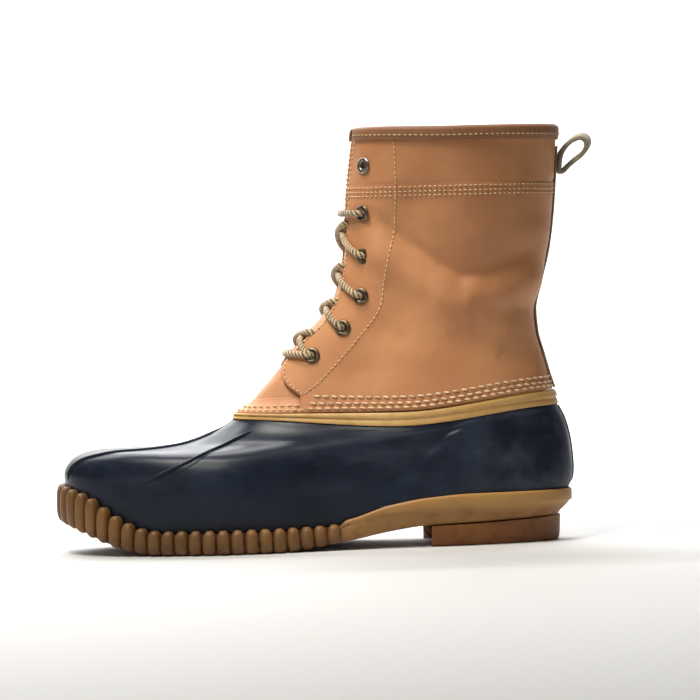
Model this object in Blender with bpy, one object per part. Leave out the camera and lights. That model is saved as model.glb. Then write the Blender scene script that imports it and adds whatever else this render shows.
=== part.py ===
"""A left duck boot that stands empty: gum sole and heel, hollow rubber bottom, laced leather shaft.

The toe points to -X, the heel to +X, the outer side to -Y, and the sole rests on z = 0.
Tables and local functions work in millimetres, and meshes are made in metres.
"""
import math
from collections import namedtuple
from functools import lru_cache

import bmesh
import bpy
from mathutils import Vector

MM = 0.001
GAP = 0.3

# The middle of the boot's own box in the tables' frame, which becomes the origin on the floor
MIDDLE = Vector((8.155, 0.924, 0.0))

# Driving dimensions in millimetres
RUBBER_WALL = 2.4
LEATHER_WALL = 2.2
OVERLAY_STEP = 0.6
BAND_PROUD = 1.6
TONGUE_WALL = 2.6
TONGUE_TUCK = 10.0
TONGUE_TOP = 16.62
INSOLE_THICKNESS = 4.0
INSOLE_INSET = 7.4
FLAT_INSET = 16.0
TOE_IN = 12.0
ROUNDNESS = 2.5
RIDGE_HEIGHT = 1.3
RIB_PITCH = 8.0
RIB_PROUD = 2.0
RIB_END_X = 14.0
FOXING_PROUD = 2.6
HEEL_BREAST_X = 63.5
HEEL_INSET = 4.5
FACING_WIDTH = 22.0
EYELET_FROM_EDGE = 16.0
EYELET_HOLE = 2.9
LACE_RADIUS = 1.9
BACKSTAY_HALF_ANGLE = 0.14
BACKSTAY_HEIGHT = 1.2

# Rings of the last's outside, from the feather line up to the collar. Each is an egg round the foot:
# its front and back points, the height of its sides, and half widths at the ball, waist and heel.
Ring = namedtuple("Ring", "x_front z_front x_back z_back z_side w_front w_mid w_rear")
RINGS = [
    Ring(-141.5, 34.0, 145.2, 30.0, 18.0, 52.0, 40.0, 43.0),   # 0 feather line
    Ring(-145.0, 45.0, 150.0, 42.0, 26.0, 54.5, 41.5, 45.5),   # 1 widest line
    Ring(-139.5, 54.5, 149.0, 56.0, 39.0, 53.0, 41.5, 45.0),   # 2 front of the toe box
    Ring(-126.0, 59.0, 147.0, 66.0, 50.0, 49.0, 41.0, 44.0),   # 3
    Ring(-104.0, 59.5, 145.0, 72.0, 58.0, 43.0, 40.5, 43.0),   # 4 top of the toe box
    Ring(-80.0, 61.5, 143.5, 75.0, 63.0, 38.0, 39.5, 42.0),    # 5
    Ring(-61.0, 67.0, 142.5, 77.0, 66.5, 34.0, 38.5, 41.5),    # 6
    Ring(-46.5, 75.0, 142.0, 78.5, 69.5, 31.0, 38.0, 41.0),    # 7 top edge of the rubber
    Ring(-44.0, 78.5, 139.5, 87.3, 78.0, 30.0, 37.5, 41.0),    # 8 lower edge of the leather
    Ring(-36.0, 88.5, 136.5, 97.0, 89.5, 28.0, 36.5, 40.0),    # 9
    Ring(-24.0, 102.0, 133.5, 108.0, 102.0, 27.0, 36.0, 39.0),  # 10 instep
    Ring(-8.0, 121.0, 130.2, 121.0, 117.0, 28.0, 36.0, 38.0),  # 11 ankle
    Ring(6.5, 138.0, 129.3, 134.0, 133.0, 30.0, 37.0, 38.5),   # 12
    Ring(15.0, 155.0, 133.0, 150.0, 150.0, 33.0, 39.0, 40.0),  # 13
    Ring(19.5, 175.0, 138.0, 170.0, 171.0, 36.5, 41.5, 42.0),  # 14
    Ring(22.0, 198.0, 141.0, 191.0, 194.0, 39.5, 43.5, 44.0),  # 15 below the cuff's seam
    Ring(24.5, 219.0, 143.0, 214.0, 216.0, 42.0, 45.0, 45.0),  # 16
    Ring(26.5, 239.0, 144.8, 238.0, 238.0, 43.0, 45.5, 45.5),  # 17 collar
]
RUBBER_TOP = 7.0
LEATHER_BOTTOM = 8.0
COLLAR = 17.0
CUFF_SEAM = 15.35
SHAFT_LEVELS = (8.035, 8.5, 8.98, 9.06, 9.5, 9.85, 10.2, 10.7, 11.2, 11.8, 12.5, 13.3, 14.2,
                CUFF_SEAM - 0.04, CUFF_SEAM, 16.2, 16.98)
STATION_C = (1.0, 0.45, -0.15, -0.65, -1.0)

# Where the front edge of the leather runs at each ring: the eyestay's tab juts forward at the instep.
Edge = namedtuple("Edge", "ring x")
FRONT_EDGE = [Edge(8.0, -8.0), Edge(8.9, -8.0), Edge(9.4, -14.5), Edge(9.85, -18.0), Edge(10.2, -17.0),
              Edge(10.7, -9.0), Edge(11.5, 6.0), Edge(12.5, 16.0), Edge(13.7, 20.8), Edge(15.4, 24.0),
              Edge(17.0, 28.5)]

# The sole's side view, from toe to heel
Station = namedtuple("Station", "x bottom top rib_top lip")
SOLE_PROFILE = [
    Station(-150.0, 20.0, 34.0, 38.0, 41.0),
    Station(-142.0, 16.5, 31.0, 35.0, 38.5),
    Station(-130.0, 11.0, 25.0, 30.0, 33.0),
    Station(-117.0, 5.5, 18.5, 21.0, 24.0),
    Station(-100.0, 1.0, 13.5, 14.0, 17.0),
    Station(-88.0, 0.0, 12.0, 12.5, 14.5),
    Station(-24.0, 0.0, 12.0, 12.5, 14.5),
    Station(13.0, 4.5, 14.5, 13.5, 17.0),
    Station(41.0, 9.5, 23.0, 20.0, 25.0),
    Station(62.0, 12.0, 26.5, 22.0, 28.5),
    Station(89.0, 12.8, 28.0, 23.0, 30.2),
    Station(150.0, 15.0, 28.0, 23.0, 30.0),
]

# Eyelets of one side by their height, from the lowest up; the top one carries no lace
EYELET_HEIGHTS = (110.7, 126.3, 144.4, 167.4, 191.7, 219.0)
LACED_EYELETS = 5

# A run of lace: its share of the way across from the outer to the inner side, its distance past the
# eyestay's edge, and its clearance over the leather
LACE_PATH = [(-1.0, 18.5, 2.9), (-0.84, 11.5, 2.4), (-0.7, 5.5, 1.9), (-0.6, 0.0, 1.2),
             (0.6, 0.0, 1.2), (0.7, 5.5, 1.9), (0.84, 11.5, 2.4), (1.0, 18.5, 2.9)]


def hermite(xs, ys, x):
    """Smooth curve through the points that never overshoots them."""
    if x <= xs[0]:
        return ys[0]
    if x >= xs[-1]:
        return ys[-1]
    k = max(i for i in range(len(xs) - 1) if xs[i] <= x)
    secants = [(ys[i + 1] - ys[i]) / (xs[i + 1] - xs[i]) for i in range(len(xs) - 1)]

    def slope(i):
        before = secants[max(i - 1, 0)]
        after = secants[min(i, len(secants) - 1)]
        return 0.0 if before * after <= 0.0 else 2.0 * before * after / (before + after)

    width = xs[k + 1] - xs[k]
    t = (x - xs[k]) / width
    start = (1 + 2 * t) * (1 - t) ** 2 * ys[k] + t * (1 - t) ** 2 * width * slope(k)
    end = t * t * (3 - 2 * t) * ys[k + 1] + t * t * (t - 1) * width * slope(k + 1)
    return start + end


def column(rows, key, value, x):
    """One named column of a table, read at x of its key column."""
    return hermite([getattr(r, key) for r in rows], [getattr(r, value) for r in rows], x)


def sole(value, x):
    return column(SOLE_PROFILE, "x", value, x)


def ease(t):
    t = min(max(t, 0.0), 1.0)
    return t * t * (3 - 2 * t)


def spine(x):
    """The left-right curve of the last: the toe leans to the inner side."""
    return TOE_IN * max(0.0, (-20.0 - x) / 125.0) ** 2


@lru_cache(maxsize=None)
def ring_at(v):
    levels = range(len(RINGS))
    return Ring(*(hermite(levels, [getattr(r, f) for r in RINGS], v) for f in Ring._fields))


def ring_point(ring, u):
    """A point of one ring: u is 0 at the toe, pi at the heel, and positive on the outer side."""
    cosine = math.cos(u)
    c = math.copysign(abs(cosine) ** (2 / ROUNDNESS), cosine)
    s = abs(math.sin(u)) ** (2 / ROUNDNESS)
    x = (ring.x_front + ring.x_back) / 2 - (ring.x_back - ring.x_front) / 2 * c
    widths = (ring.w_rear, ring.w_rear, ring.w_mid, ring.w_front, ring.w_front)
    half = hermite(sorted(STATION_C), widths, c)
    side = -1.0 if math.sin(u) > 0 else 1.0
    z = ring.z_side + (ring.z_front - ring.z_side) * ease(c) + (ring.z_back - ring.z_side) * ease(-c)
    return Vector((x, side * half * s + spine(x), z))


def skin(u, v):
    """The outside of the upper, over the last, at ring number v."""
    point = ring_point(ring_at(v), u)
    if v < 1.0:
        point.z = (1 - v) * (sole("top", point.x) + GAP) + v * point.z
    return point


def normal(u, v):
    du = skin(u + 0.01, v) - skin(u - 0.01, v)
    low, high = max(v - 0.05, 0.0), min(v + 0.05, COLLAR)
    dv = skin(u, high) - skin(u, low)
    return du.cross(dv).normalized()


def stand_off(u, v, distance):
    """The point at a distance outside (or, negative, inside) the upper's own surface."""
    return skin(u, v) + normal(u, v) * distance


def walk(v, u, distance):
    """The angle that lies a distance further back along ring v, on the outer side."""
    step = 0.01
    here = skin(u, v)
    while distance > 0 and u < math.pi:
        there = skin(u + step, v)
        distance -= (there - here).length
        u, here = u + step, there
    return u


@lru_cache(maxsize=None)
def edge_angle(v):
    """The angle of the leather's front edge at ring v."""
    ring = ring_at(v)
    half = (ring.x_back - ring.x_front) / 2
    c = ((ring.x_front + ring.x_back) / 2 - column(FRONT_EDGE, "ring", "x", v)) / half
    return math.acos(c ** (ROUNDNESS / 2))


def level(height, from_edge):
    """The ring number at which a line that runs along the front edge reaches a height."""
    low, high = LEATHER_BOTTOM, COLLAR
    for _ in range(30):
        middle = (low + high) / 2
        if skin(walk(middle, edge_angle(middle), from_edge), middle).z < height:
            low = middle
        else:
            high = middle
    return low


def next_ring(u, v, distance):
    """The ring number a distance above ring v at angle u."""
    rise = (skin(u, min(v + 0.1, COLLAR)) - skin(u, v)).length
    return v + 0.1 * distance / rise


def material(name, colour, roughness, metallic=0.0):
    made = bpy.data.materials.new(name)
    made.use_nodes = True
    shader = made.node_tree.nodes["Principled BSDF"]
    shader.inputs["Base Color"].default_value = (*colour, 1.0)
    shader.inputs["Roughness"].default_value = roughness
    shader.inputs["Metallic"].default_value = metallic
    made.diffuse_color = (*colour, 1.0)
    return made


def finish(bm, name, finish_material, sharp=40.0):
    """Makes the object from a mesh in millimetres."""
    bmesh.ops.translate(bm, vec=-MIDDLE, verts=bm.verts)
    bmesh.ops.scale(bm, vec=(MM, MM, MM), verts=bm.verts)
    bmesh.ops.recalc_face_normals(bm, faces=bm.faces)
    bmesh.ops.triangulate(bm, faces=bm.faces)
    mesh = bpy.data.meshes.new(name)
    bm.to_mesh(mesh)
    bm.free()
    mesh.shade_smooth()
    mesh.set_sharp_from_angle(angle=math.radians(sharp))
    mesh.materials.append(finish_material)
    made = bpy.data.objects.new(name, mesh)
    bpy.context.scene.collection.objects.link(made)
    return made


def sweep(sections, closed_path):
    """A mesh skinned over a row of sections, which all have the same number of points."""
    bm = bmesh.new()
    rows = [[bm.verts.new(p) for p in section] for section in sections]
    count = len(rows[0])
    pairs = len(rows) if closed_path else len(rows) - 1
    for i in range(pairs):
        here, there = rows[i], rows[(i + 1) % len(rows)]
        for j in range(count):
            k = (j + 1) % count
            bm.faces.new((here[j], here[k], there[k], there[j]))
    if not closed_path:
        for end in (rows[0], rows[-1]):
            cap(bm, end)
    return bm


def cap(bm, end):
    """Closes an end: a ladder of quads between the two halves of an even section."""
    count = len(end)
    if count % 2:
        bm.faces.new(end)
        return
    for j in range(count // 2 - 1):
        bm.faces.new((end[j], end[j + 1], end[count - 2 - j], end[count - 1 - j]))


def wall(angles, levels, outer, inner, closed):
    """A wall between two stand-offs: one section, up the outside and down the inside, at each angle."""
    sections = []
    for i, _ in enumerate(angles(levels[0])):
        section = [stand_off(angles(v)[i], v, outer(i, v)) for v in levels]
        section += [stand_off(angles(v)[i], v, inner(i, v)) for v in reversed(levels)]
        sections.append(section)
    return sweep(sections, closed)


def make_outsole(gum):
    """One ring of side points for each angle, ribbed round the forefoot, with a strip across for each."""
    angles, is_rib = sole_columns()
    half = [(u, rib) for u, rib in zip(angles, is_rib)]
    around = half + [(2 * math.pi - u, rib) for u, rib in reversed(half)]
    bm = bmesh.new()
    rows = [[bm.verts.new(p) for p in side_section(u, rib)] for u, rib in around]
    count = len(rows)
    for i in range(count):
        here, there = rows[i], rows[(i + 1) % count]
        for j in range(len(here) - 1):
            bm.faces.new((here[j], here[j + 1], there[j + 1], there[j]))
    for i in range(count // 2 - 1):
        for j in (0, -1):
            bm.faces.new((rows[i][j], rows[i + 1][j], rows[count - 2 - i][j], rows[count - 1 - i][j]))
    return finish(bm, "outsole", gum, 25.0)


def plan(u, offset):
    """The sole's outline from above, moved out by an offset."""
    ring = RINGS[1]._replace(x_back=146.6, w_mid=41.0, w_rear=45.0)
    here = ring_point(ring, u)
    along = ring_point(ring, u + 0.01) - ring_point(ring, u - 0.01)
    along.z = 0.0
    out = Vector((along.y, -along.x, 0.0)).normalized()
    return here - out * offset if out.dot(Vector((here.x, here.y - spine(here.x), 0.0))) < 0 \
        else here + out * offset


def sole_columns():
    """Angles from toe to heel on one side: four for each rib's pitch, then wider steps."""
    angles, is_rib = [], []
    u, travelled = 0.02, 0.0
    marks = (0.14, 0.30, 0.74, 0.90)
    flags = (False, True, True, False)
    wanted = [(n + m) * RIB_PITCH for n in range(40) for m in marks]
    here = plan(u, 0.0)
    k = 0
    while here.x < RIB_END_X:
        u += 0.002
        there = plan(u, 0.0)
        travelled += (there - here).xy.length
        here = there
        if travelled >= wanted[k]:
            angles.append(u)
            is_rib.append(flags[k % 4])
            k += 1
    rest = 10
    start = angles[-1]
    for i in range(1, rest + 1):
        angles.append(start + (math.pi - 0.05 - start) * i / rest)
        is_rib.append(False)
    return angles, is_rib


def side_section(u, rib):
    """The sole's side at one angle, from under the foot, round the edge, to the bed under the shell."""
    x = plan(u, 0.0).x
    rear = ease((x - RIB_END_X) / 45.0)
    proud = FOXING_PROUD + (RIB_PROUD if rib else 0.0)
    low = (1 - rear) * proud + rear * -HEEL_INSET
    middle = (1 - rear) * proud + rear * 0.4
    groove = 0.0 if rib else 1.6 * (1 - rear)
    rib_lift = 1.2 if rib and rear == 0.0 else 0.0
    places = [
        (-FLAT_INSET, "bottom", 0.0),
        (low - 1.6, "bottom", groove * 0.9),
        (low, "bottom", groove + 1.4),
        (middle, "rib_top", rib_lift - 1.6),
        (FOXING_PROUD, "rib_top", rib_lift),
        (FOXING_PROUD - 0.8, "lip", 0.0),
        (GAP, "lip", 0.0),
        (GAP, "top", 0.0),
        (-FLAT_INSET, "top", 0.0),
    ]
    points = []
    for offset, line, rise in places:
        point = plan(u, offset)
        point.z = sole(line, point.x if offset == -FLAT_INSET else x) + rise
        points.append(point)
    return points


def across(u, offset, line, rise):
    """A pair of points on both sides of the foot, at a rise over one line of the sole's side view."""
    pair = plan(u, offset), plan(2 * math.pi - u, offset)
    for point in pair:
        point.z = rise + (sole(line, point.x) if line else 0.0)
    return pair


def make_heel(gum):
    start = 1.3
    while plan(start, -HEEL_INSET).x < HEEL_BREAST_X:
        start += 0.005
    sections = []
    steps = 12
    for i in range(steps + 1):
        u = start + (math.pi - 0.05 - start) * i / steps
        low_out, low_in = across(u, -HEEL_INSET - 2.0, None, 0.0)
        edge_out, edge_in = across(u, -HEEL_INSET - 1.0, None, 1.2)
        top_out, top_in = across(u, -HEEL_INSET, "bottom", -GAP)
        sections.append([low_out, edge_out, top_out, top_in, edge_in, low_in])
    return finish(sweep(sections, False), "heel", gum, 30.0)


def make_insole(lining):
    sections = []
    steps = 26
    for i in range(steps + 1):
        u = 0.06 + (math.pi - 0.12) * i / steps
        low_out, low_in = across(u, -INSOLE_INSET, "top", 2 * GAP)
        top_out, top_in = across(u, -INSOLE_INSET - 0.5, "top", 2 * GAP + INSOLE_THICKNESS)
        sections.append([low_out, top_out, top_in, low_in])
    return finish(sweep(sections, False), "insole", lining, 30.0)


def vamp_ridge(u, v):
    """The raised centre line, and a soft line along each side of the vamp."""
    from_toe = min(u, 2 * math.pi - u)
    front = ease(1.8 - 0.8 * from_toe)
    centre = RIDGE_HEIGHT if abs(math.sin(u)) < 1e-6 and math.cos(u) > 0 and v > 1.5 else 0.0
    side = 0.9 if abs(v - 5.0) < 0.01 and math.cos(u) > -0.2 else 0.0
    return centre + side * front


def make_rubber_shell(rubber):
    columns = 44
    around = [2 * math.pi * i / columns for i in range(columns)]
    levels = [0.0, 0.5, 1.0, 1.6, 2.2, 3.0, 4.0, 4.7, 5.0, 5.3, 6.0, RUBBER_TOP]
    bm = wall(lambda v: around, levels,
                 lambda i, v: vamp_ridge(around[i], v), lambda i, v: -RUBBER_WALL, True)
    return finish(bm, "rubber_shell", rubber)


def make_top_band(gum):
    """The gum band between the rubber and the leather, with a lip that stands proud."""
    columns = 44
    sections = []
    for i in range(columns):
        u = 2 * math.pi * i / columns
        low = next_ring(u, RUBBER_TOP, GAP)
        high = LEATHER_BOTTOM - (next_ring(u, RUBBER_TOP, GAP) - RUBBER_TOP)
        lip = high - 0.35
        profile = [(low, 0.6), (lip, 0.9), (lip + 0.1, BAND_PROUD), (high, BAND_PROUD - 0.3),
                   (high, -RUBBER_WALL), (low, -RUBBER_WALL)]
        sections.append([stand_off(u, v, d) for v, d in profile])
    return finish(sweep(sections, True), "top_band", gum, 30.0)


@lru_cache(maxsize=None)
def shaft_angles(v):
    """Angles round the shaft at ring v: fixed distances over the eyestay, then even steps to the back."""
    edge = edge_angle(v)
    near = [edge, walk(v, edge, 6.0), walk(v, edge, 15.0), walk(v, edge, FACING_WIDTH),
            walk(v, edge, FACING_WIDTH + 1.3)]
    steps = 8
    start = near[-1]
    near += [start + (math.pi - start) * i / steps for i in range(1, steps)]
    return near + [math.pi] + [2 * math.pi - u for u in reversed(near)]


def shaft_step(i, v, count):
    """How far the eyestay and the cuff stand out from the quarter."""
    if v >= CUFF_SEAM:
        return OVERLAY_STEP
    on_facing = min(i, count - 1 - i) <= 3
    return OVERLAY_STEP if on_facing and v > 9.0 else 0.0


def make_leather_shaft(leather):
    count = len(shaft_angles(COLLAR))
    bm = wall(shaft_angles, SHAFT_LEVELS, lambda i, v: shaft_step(i, v, count),
                 lambda i, v: -LEATHER_WALL, False)
    return finish(bm, "leather_shaft", leather, 30.0)


def make_collar_binding(leather):
    """A strip folded over the shaft's top edge, open below."""
    outside = OVERLAY_STEP + GAP
    inside = -LEATHER_WALL - GAP
    sections = []
    angles = shaft_angles(COLLAR)
    angles[0] += 0.02
    angles[-1] -= 0.02
    for u in angles:
        top = stand_off(u, COLLAR, 0.0)
        lift = Vector((0, 0, 1))
        skirt = COLLAR - 0.26
        section = [stand_off(u, skirt, outside), stand_off(u, skirt, outside + 1.2),
                   stand_off(u, COLLAR, outside + 1.4),
                   top + normal(u, COLLAR) * (outside + inside) / 2 + lift * 2.4,
                   stand_off(u, COLLAR, inside - 1.4), stand_off(u, skirt, inside - 1.2),
                   stand_off(u, skirt, inside),
                   stand_off(u, COLLAR, inside) + lift * 0.3, stand_off(u, COLLAR, outside) + lift * 0.3]
        sections.append(section)
    return finish(sweep(sections, False), "collar_binding", leather, 50.0)


@lru_cache(maxsize=None)
def tongue_angles(v):
    half = walk(v, edge_angle(max(v, LEATHER_BOTTOM)), TONGUE_TUCK)
    steps = 5
    return [half * i / steps for i in range(-steps, steps + 1)]


def make_tongue(leather):
    """Hugs the inside of the rubber's throat and of the eyestay, and shows between them."""
    clear = RUBBER_WALL + GAP + 0.3
    levels = [7.2, 7.6, 8.0, 8.5, 9.0, 9.5, 10.0, 10.6, 11.2, 12.0, 13.0, 14.0, 15.0, 16.0, TONGUE_TOP]
    bm = wall(tongue_angles, levels, lambda i, v: -clear, lambda i, v: -clear - TONGUE_WALL, False)
    return finish(bm, "tongue", leather)


def make_backstay(leather):
    """The strip over the back seam, with a rounded face."""
    places = (-1.0, -0.8, 0.0, 0.8, 1.0)
    heights = [BACKSTAY_HEIGHT * share for share in (0.5, 0.8, 1.0, 0.8, 0.5)]
    base = OVERLAY_STEP + GAP
    angles = [math.pi + BACKSTAY_HALF_ANGLE * t for t in places]
    levels = [v for v in SHAFT_LEVELS if not 8.9 < v < 9.1 and v < 16.5] + [COLLAR - 0.42]
    bm = wall(lambda v: angles, levels, lambda i, v: base + heights[i], lambda i, v: base, False)
    return finish(bm, "backstay", leather)


# The pull loop's middle line seen from the side: distances out from the backstay, and heights
LoopPoint = namedtuple("LoopPoint", "out z")
LOOP_LINE = [LoopPoint(1.3, 210.5), LoopPoint(9.0, 218.5), LoopPoint(16.0, 223.5), LoopPoint(18.6, 229.5),
             LoopPoint(15.0, 233.8), LoopPoint(9.0, 231.8), LoopPoint(4.6, 227.5), LoopPoint(1.3, 222.0)]
LOOP_WIDTH = 16.0
LOOP_THICKNESS = 2.0


def make_pull_loop(webbing):
    stay = OVERLAY_STEP + GAP + BACKSTAY_HEIGHT
    middle = [Vector((skin(math.pi, level_back(p.z)).x + stay + p.out, 0.0, p.z)) for p in LOOP_LINE]
    centre = sum(middle, Vector()) / len(middle)
    half_width = Vector((0.0, LOOP_WIDTH / 2, 0.0))
    sections = []
    for i, point in enumerate(middle):
        out = (point - centre).normalized()
        if i in (0, len(middle) - 1):
            out = Vector((-1.0, 0.0, -1.0 if i == 0 else 1.0))
        out *= LOOP_THICKNESS / 2
        sections.append([point + out + half_width, point + out - half_width,
                         point - out - half_width, point - out + half_width])
    return finish(sweep(sections, True), "pull_loop", webbing)


def level_back(height):
    return hermite([r.z_back for r in RINGS], list(range(len(RINGS))), height)


def eyelet_place(height, inner_side):
    """Centre and outward direction of an eyelet on one side of the throat."""
    v = level(height, EYELET_FROM_EDGE)
    u = walk(v, edge_angle(v), EYELET_FROM_EDGE)
    if inner_side:
        u = 2 * math.pi - u
    return stand_off(u, v, OVERLAY_STEP), normal(u, v)


def turned(profile, centre, axis, segments, name, finish_material):
    """A closed profile of (radius, height) pairs, spun round an axis through the centre."""
    spin = axis.to_track_quat("Z", "Y")
    sections = []
    for i in range(segments):
        a = 2 * math.pi * i / segments
        sections.append([centre + spin @ Vector((r * math.cos(a), r * math.sin(a), h)) for r, h in profile])
    return finish(sweep(sections, True), name, finish_material, 50.0)


def make_eyelets(metal, shaft):
    """Rolled metal eyelets, each in its own hole through the eyestay."""
    wall_depth = LEATHER_WALL + OVERLAY_STEP
    profile = [(EYELET_HOLE - 1.1, -wall_depth - 0.4), (EYELET_HOLE - GAP, -wall_depth - 0.4),
               (EYELET_HOLE - GAP, 0.75), (4.6, 0.75), (4.2, 1.5), (EYELET_HOLE - 1.1, 1.5)]
    for row, height in enumerate(EYELET_HEIGHTS):
        for side in ("outer", "inner"):
            centre, axis = eyelet_place(height, side == "inner")
            turned(profile, centre, axis, 8, f"eyelet_{side}_{row + 1}", metal)
            cut_hole(shaft, centre, axis, f"{side}_{row + 1}")


def cut_hole(shaft, centre, axis, name):
    bm = bmesh.new()
    depth = 12.0
    bmesh.ops.create_cone(bm, cap_ends=True, segments=8, radius1=EYELET_HOLE, radius2=EYELET_HOLE,
                          depth=depth)
    bmesh.ops.rotate(bm, matrix=axis.to_track_quat("Z", "Y").to_matrix(), verts=bm.verts)
    bmesh.ops.translate(bm, vec=centre, verts=bm.verts)
    cutter = finish(bm, f"cutter_{name}", shaft.data.materials[0])
    cutter.hide_render = True
    cutter.display_type = "WIRE"
    boolean = shaft.modifiers.new(f"hole_{name}", "BOOLEAN")
    boolean.object = cutter
    boolean.operation = "DIFFERENCE"


def tube(points, radius, sides=4):
    sections = []
    for i, point in enumerate(points):
        ahead = points[min(i + 1, len(points) - 1)] - points[max(i - 1, 0)]
        frame = ahead.normalized().to_track_quat("Z", "Y")
        turns = [2 * math.pi * k / sides for k in range(sides)]
        ring = [Vector((radius * math.cos(a), radius * math.sin(a), 0)) for a in turns]
        sections.append([point + frame @ r for r in ring])
    return sweep(sections, False)


def lace_run(start_row, end_row, lift):
    """One run of lace from an outer eyelet, over the eyestays and the gap, to an inner eyelet."""
    start = level(EYELET_HEIGHTS[start_row], EYELET_FROM_EDGE)
    end = level(EYELET_HEIGHTS[end_row], EYELET_FROM_EDGE)
    points = []
    for share, past_edge, clear in LACE_PATH:
        v = start + (end - start) * (1 + share) / 2
        u = walk(v, edge_angle(v), past_edge)
        if share > 0:
            u = 2 * math.pi - u
        points.append(stand_off(u, v, OVERLAY_STEP + LACE_RADIUS + clear + lift))
    half = len(points) // 2
    middle = (points[half - 1] + points[half]) / 2
    middle.x -= 1.0
    return points[:half] + [middle] + points[half:]


def make_lace(cord):
    """Crossed runs between the laced eyelets and a bar at the top, joined into one solid."""
    runs = []
    for row in range(LACED_EYELETS - 1):
        runs.append((row, row + 1, 0.0))
        runs.append((row + 1, row, 1.1))
    runs.append((0, 0, 0.6))
    runs.append((LACED_EYELETS - 1, LACED_EYELETS - 1, 0.6))
    joined = None
    for number, (start, end, lift) in enumerate(runs):
        name = "lace" if joined is None else f"run_{number}"
        piece = finish(tube(lace_run(start, end, lift), LACE_RADIUS), name, cord)
        if joined is None:
            joined = piece
            continue
        piece.hide_render = True
        piece.display_type = "WIRE"
        union = joined.modifiers.new(f"join_{number}", "BOOLEAN")
        union.object = piece
        union.operation = "UNION"
    return joined


def main():
    for old in list(bpy.data.objects):
        bpy.data.objects.remove(old, do_unlink=True)
    gum = material("gum_rubber", (0.40, 0.20, 0.07), 0.55)
    rubber = material("dark_rubber", (0.012, 0.013, 0.017), 0.35)
    leather = material("brown_leather", (0.075, 0.038, 0.022), 0.5)
    lining = material("lining", (0.35, 0.27, 0.18), 0.8)
    cord = material("lace_cord", (0.42, 0.33, 0.22), 0.8)
    webbing = material("webbing", (0.35, 0.25, 0.14), 0.8)
    metal = material("antique_metal", (0.20, 0.15, 0.10), 0.4, 1.0)
    make_outsole(gum)
    make_heel(gum)
    make_insole(lining)
    make_rubber_shell(rubber)
    make_top_band(gum)
    shaft = make_leather_shaft(leather)
    make_collar_binding(leather)
    make_tongue(leather)
    make_backstay(leather)
    make_pull_loop(webbing)
    make_eyelets(metal, shaft)
    make_lace(cord)


main()
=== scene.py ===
"""Looks of the left duck boot: moulded navy rubber, gum sole, stitched tan leather and speckled laces.

Every surface is made from the last's own rings, in millimetres with the toe to -X and the outer side
to -Y, and is moved to the frame's origin as it becomes an object.
"""
import math
import random
from collections import namedtuple
from functools import lru_cache

import bmesh
import bpy
from mathutils import Matrix, Vector, noise


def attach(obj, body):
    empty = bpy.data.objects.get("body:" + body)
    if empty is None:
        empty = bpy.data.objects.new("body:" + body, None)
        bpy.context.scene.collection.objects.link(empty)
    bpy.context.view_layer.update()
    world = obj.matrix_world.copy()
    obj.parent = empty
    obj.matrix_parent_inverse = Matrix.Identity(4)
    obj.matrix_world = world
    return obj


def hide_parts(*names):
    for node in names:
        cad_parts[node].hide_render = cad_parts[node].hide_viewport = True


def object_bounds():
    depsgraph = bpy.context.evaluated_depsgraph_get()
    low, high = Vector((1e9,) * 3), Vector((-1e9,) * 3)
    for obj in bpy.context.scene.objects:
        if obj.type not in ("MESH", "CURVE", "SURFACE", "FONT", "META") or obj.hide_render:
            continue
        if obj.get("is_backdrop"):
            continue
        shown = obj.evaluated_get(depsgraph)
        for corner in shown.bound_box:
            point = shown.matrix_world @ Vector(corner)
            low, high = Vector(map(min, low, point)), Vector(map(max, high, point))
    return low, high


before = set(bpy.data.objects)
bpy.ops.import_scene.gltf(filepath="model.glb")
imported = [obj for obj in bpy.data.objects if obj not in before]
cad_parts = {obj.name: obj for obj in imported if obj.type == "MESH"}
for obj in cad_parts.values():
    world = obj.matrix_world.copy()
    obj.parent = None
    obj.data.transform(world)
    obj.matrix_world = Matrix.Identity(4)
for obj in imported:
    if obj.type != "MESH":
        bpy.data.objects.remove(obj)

CAD_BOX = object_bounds()
# Share of the full number of rows and columns that the large sheets get
FINE = 1.0

# The boot's own sizes in millimetres, as its solids have them
MM = 0.001
MIDDLE = Vector((8.155, 0.924, 0.0))
GAP = 0.3
RUBBER_WALL = 2.4
LEATHER_WALL = 2.2
OVERLAY_STEP = 0.6
BAND_PROUD = 1.6
TONGUE_WALL = 2.6
TONGUE_TUCK = 10.0
TONGUE_TOP = 16.62
TOE_IN = 12.0
ROUNDNESS = 2.5
RIB_PITCH = 8.0
RIB_PROUD = 2.0
RIB_END_X = 14.0
FOXING_PROUD = 2.6
HEEL_BREAST_X = 63.5
HEEL_INSET = 4.5
FACING_WIDTH = 22.0
EYELET_FROM_EDGE = 16.0
EYELET_HOLE = 2.9
LACE_RADIUS = 1.9
BACKSTAY_HALF_ANGLE = 0.14
BACKSTAY_HEIGHT = 1.2

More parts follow.
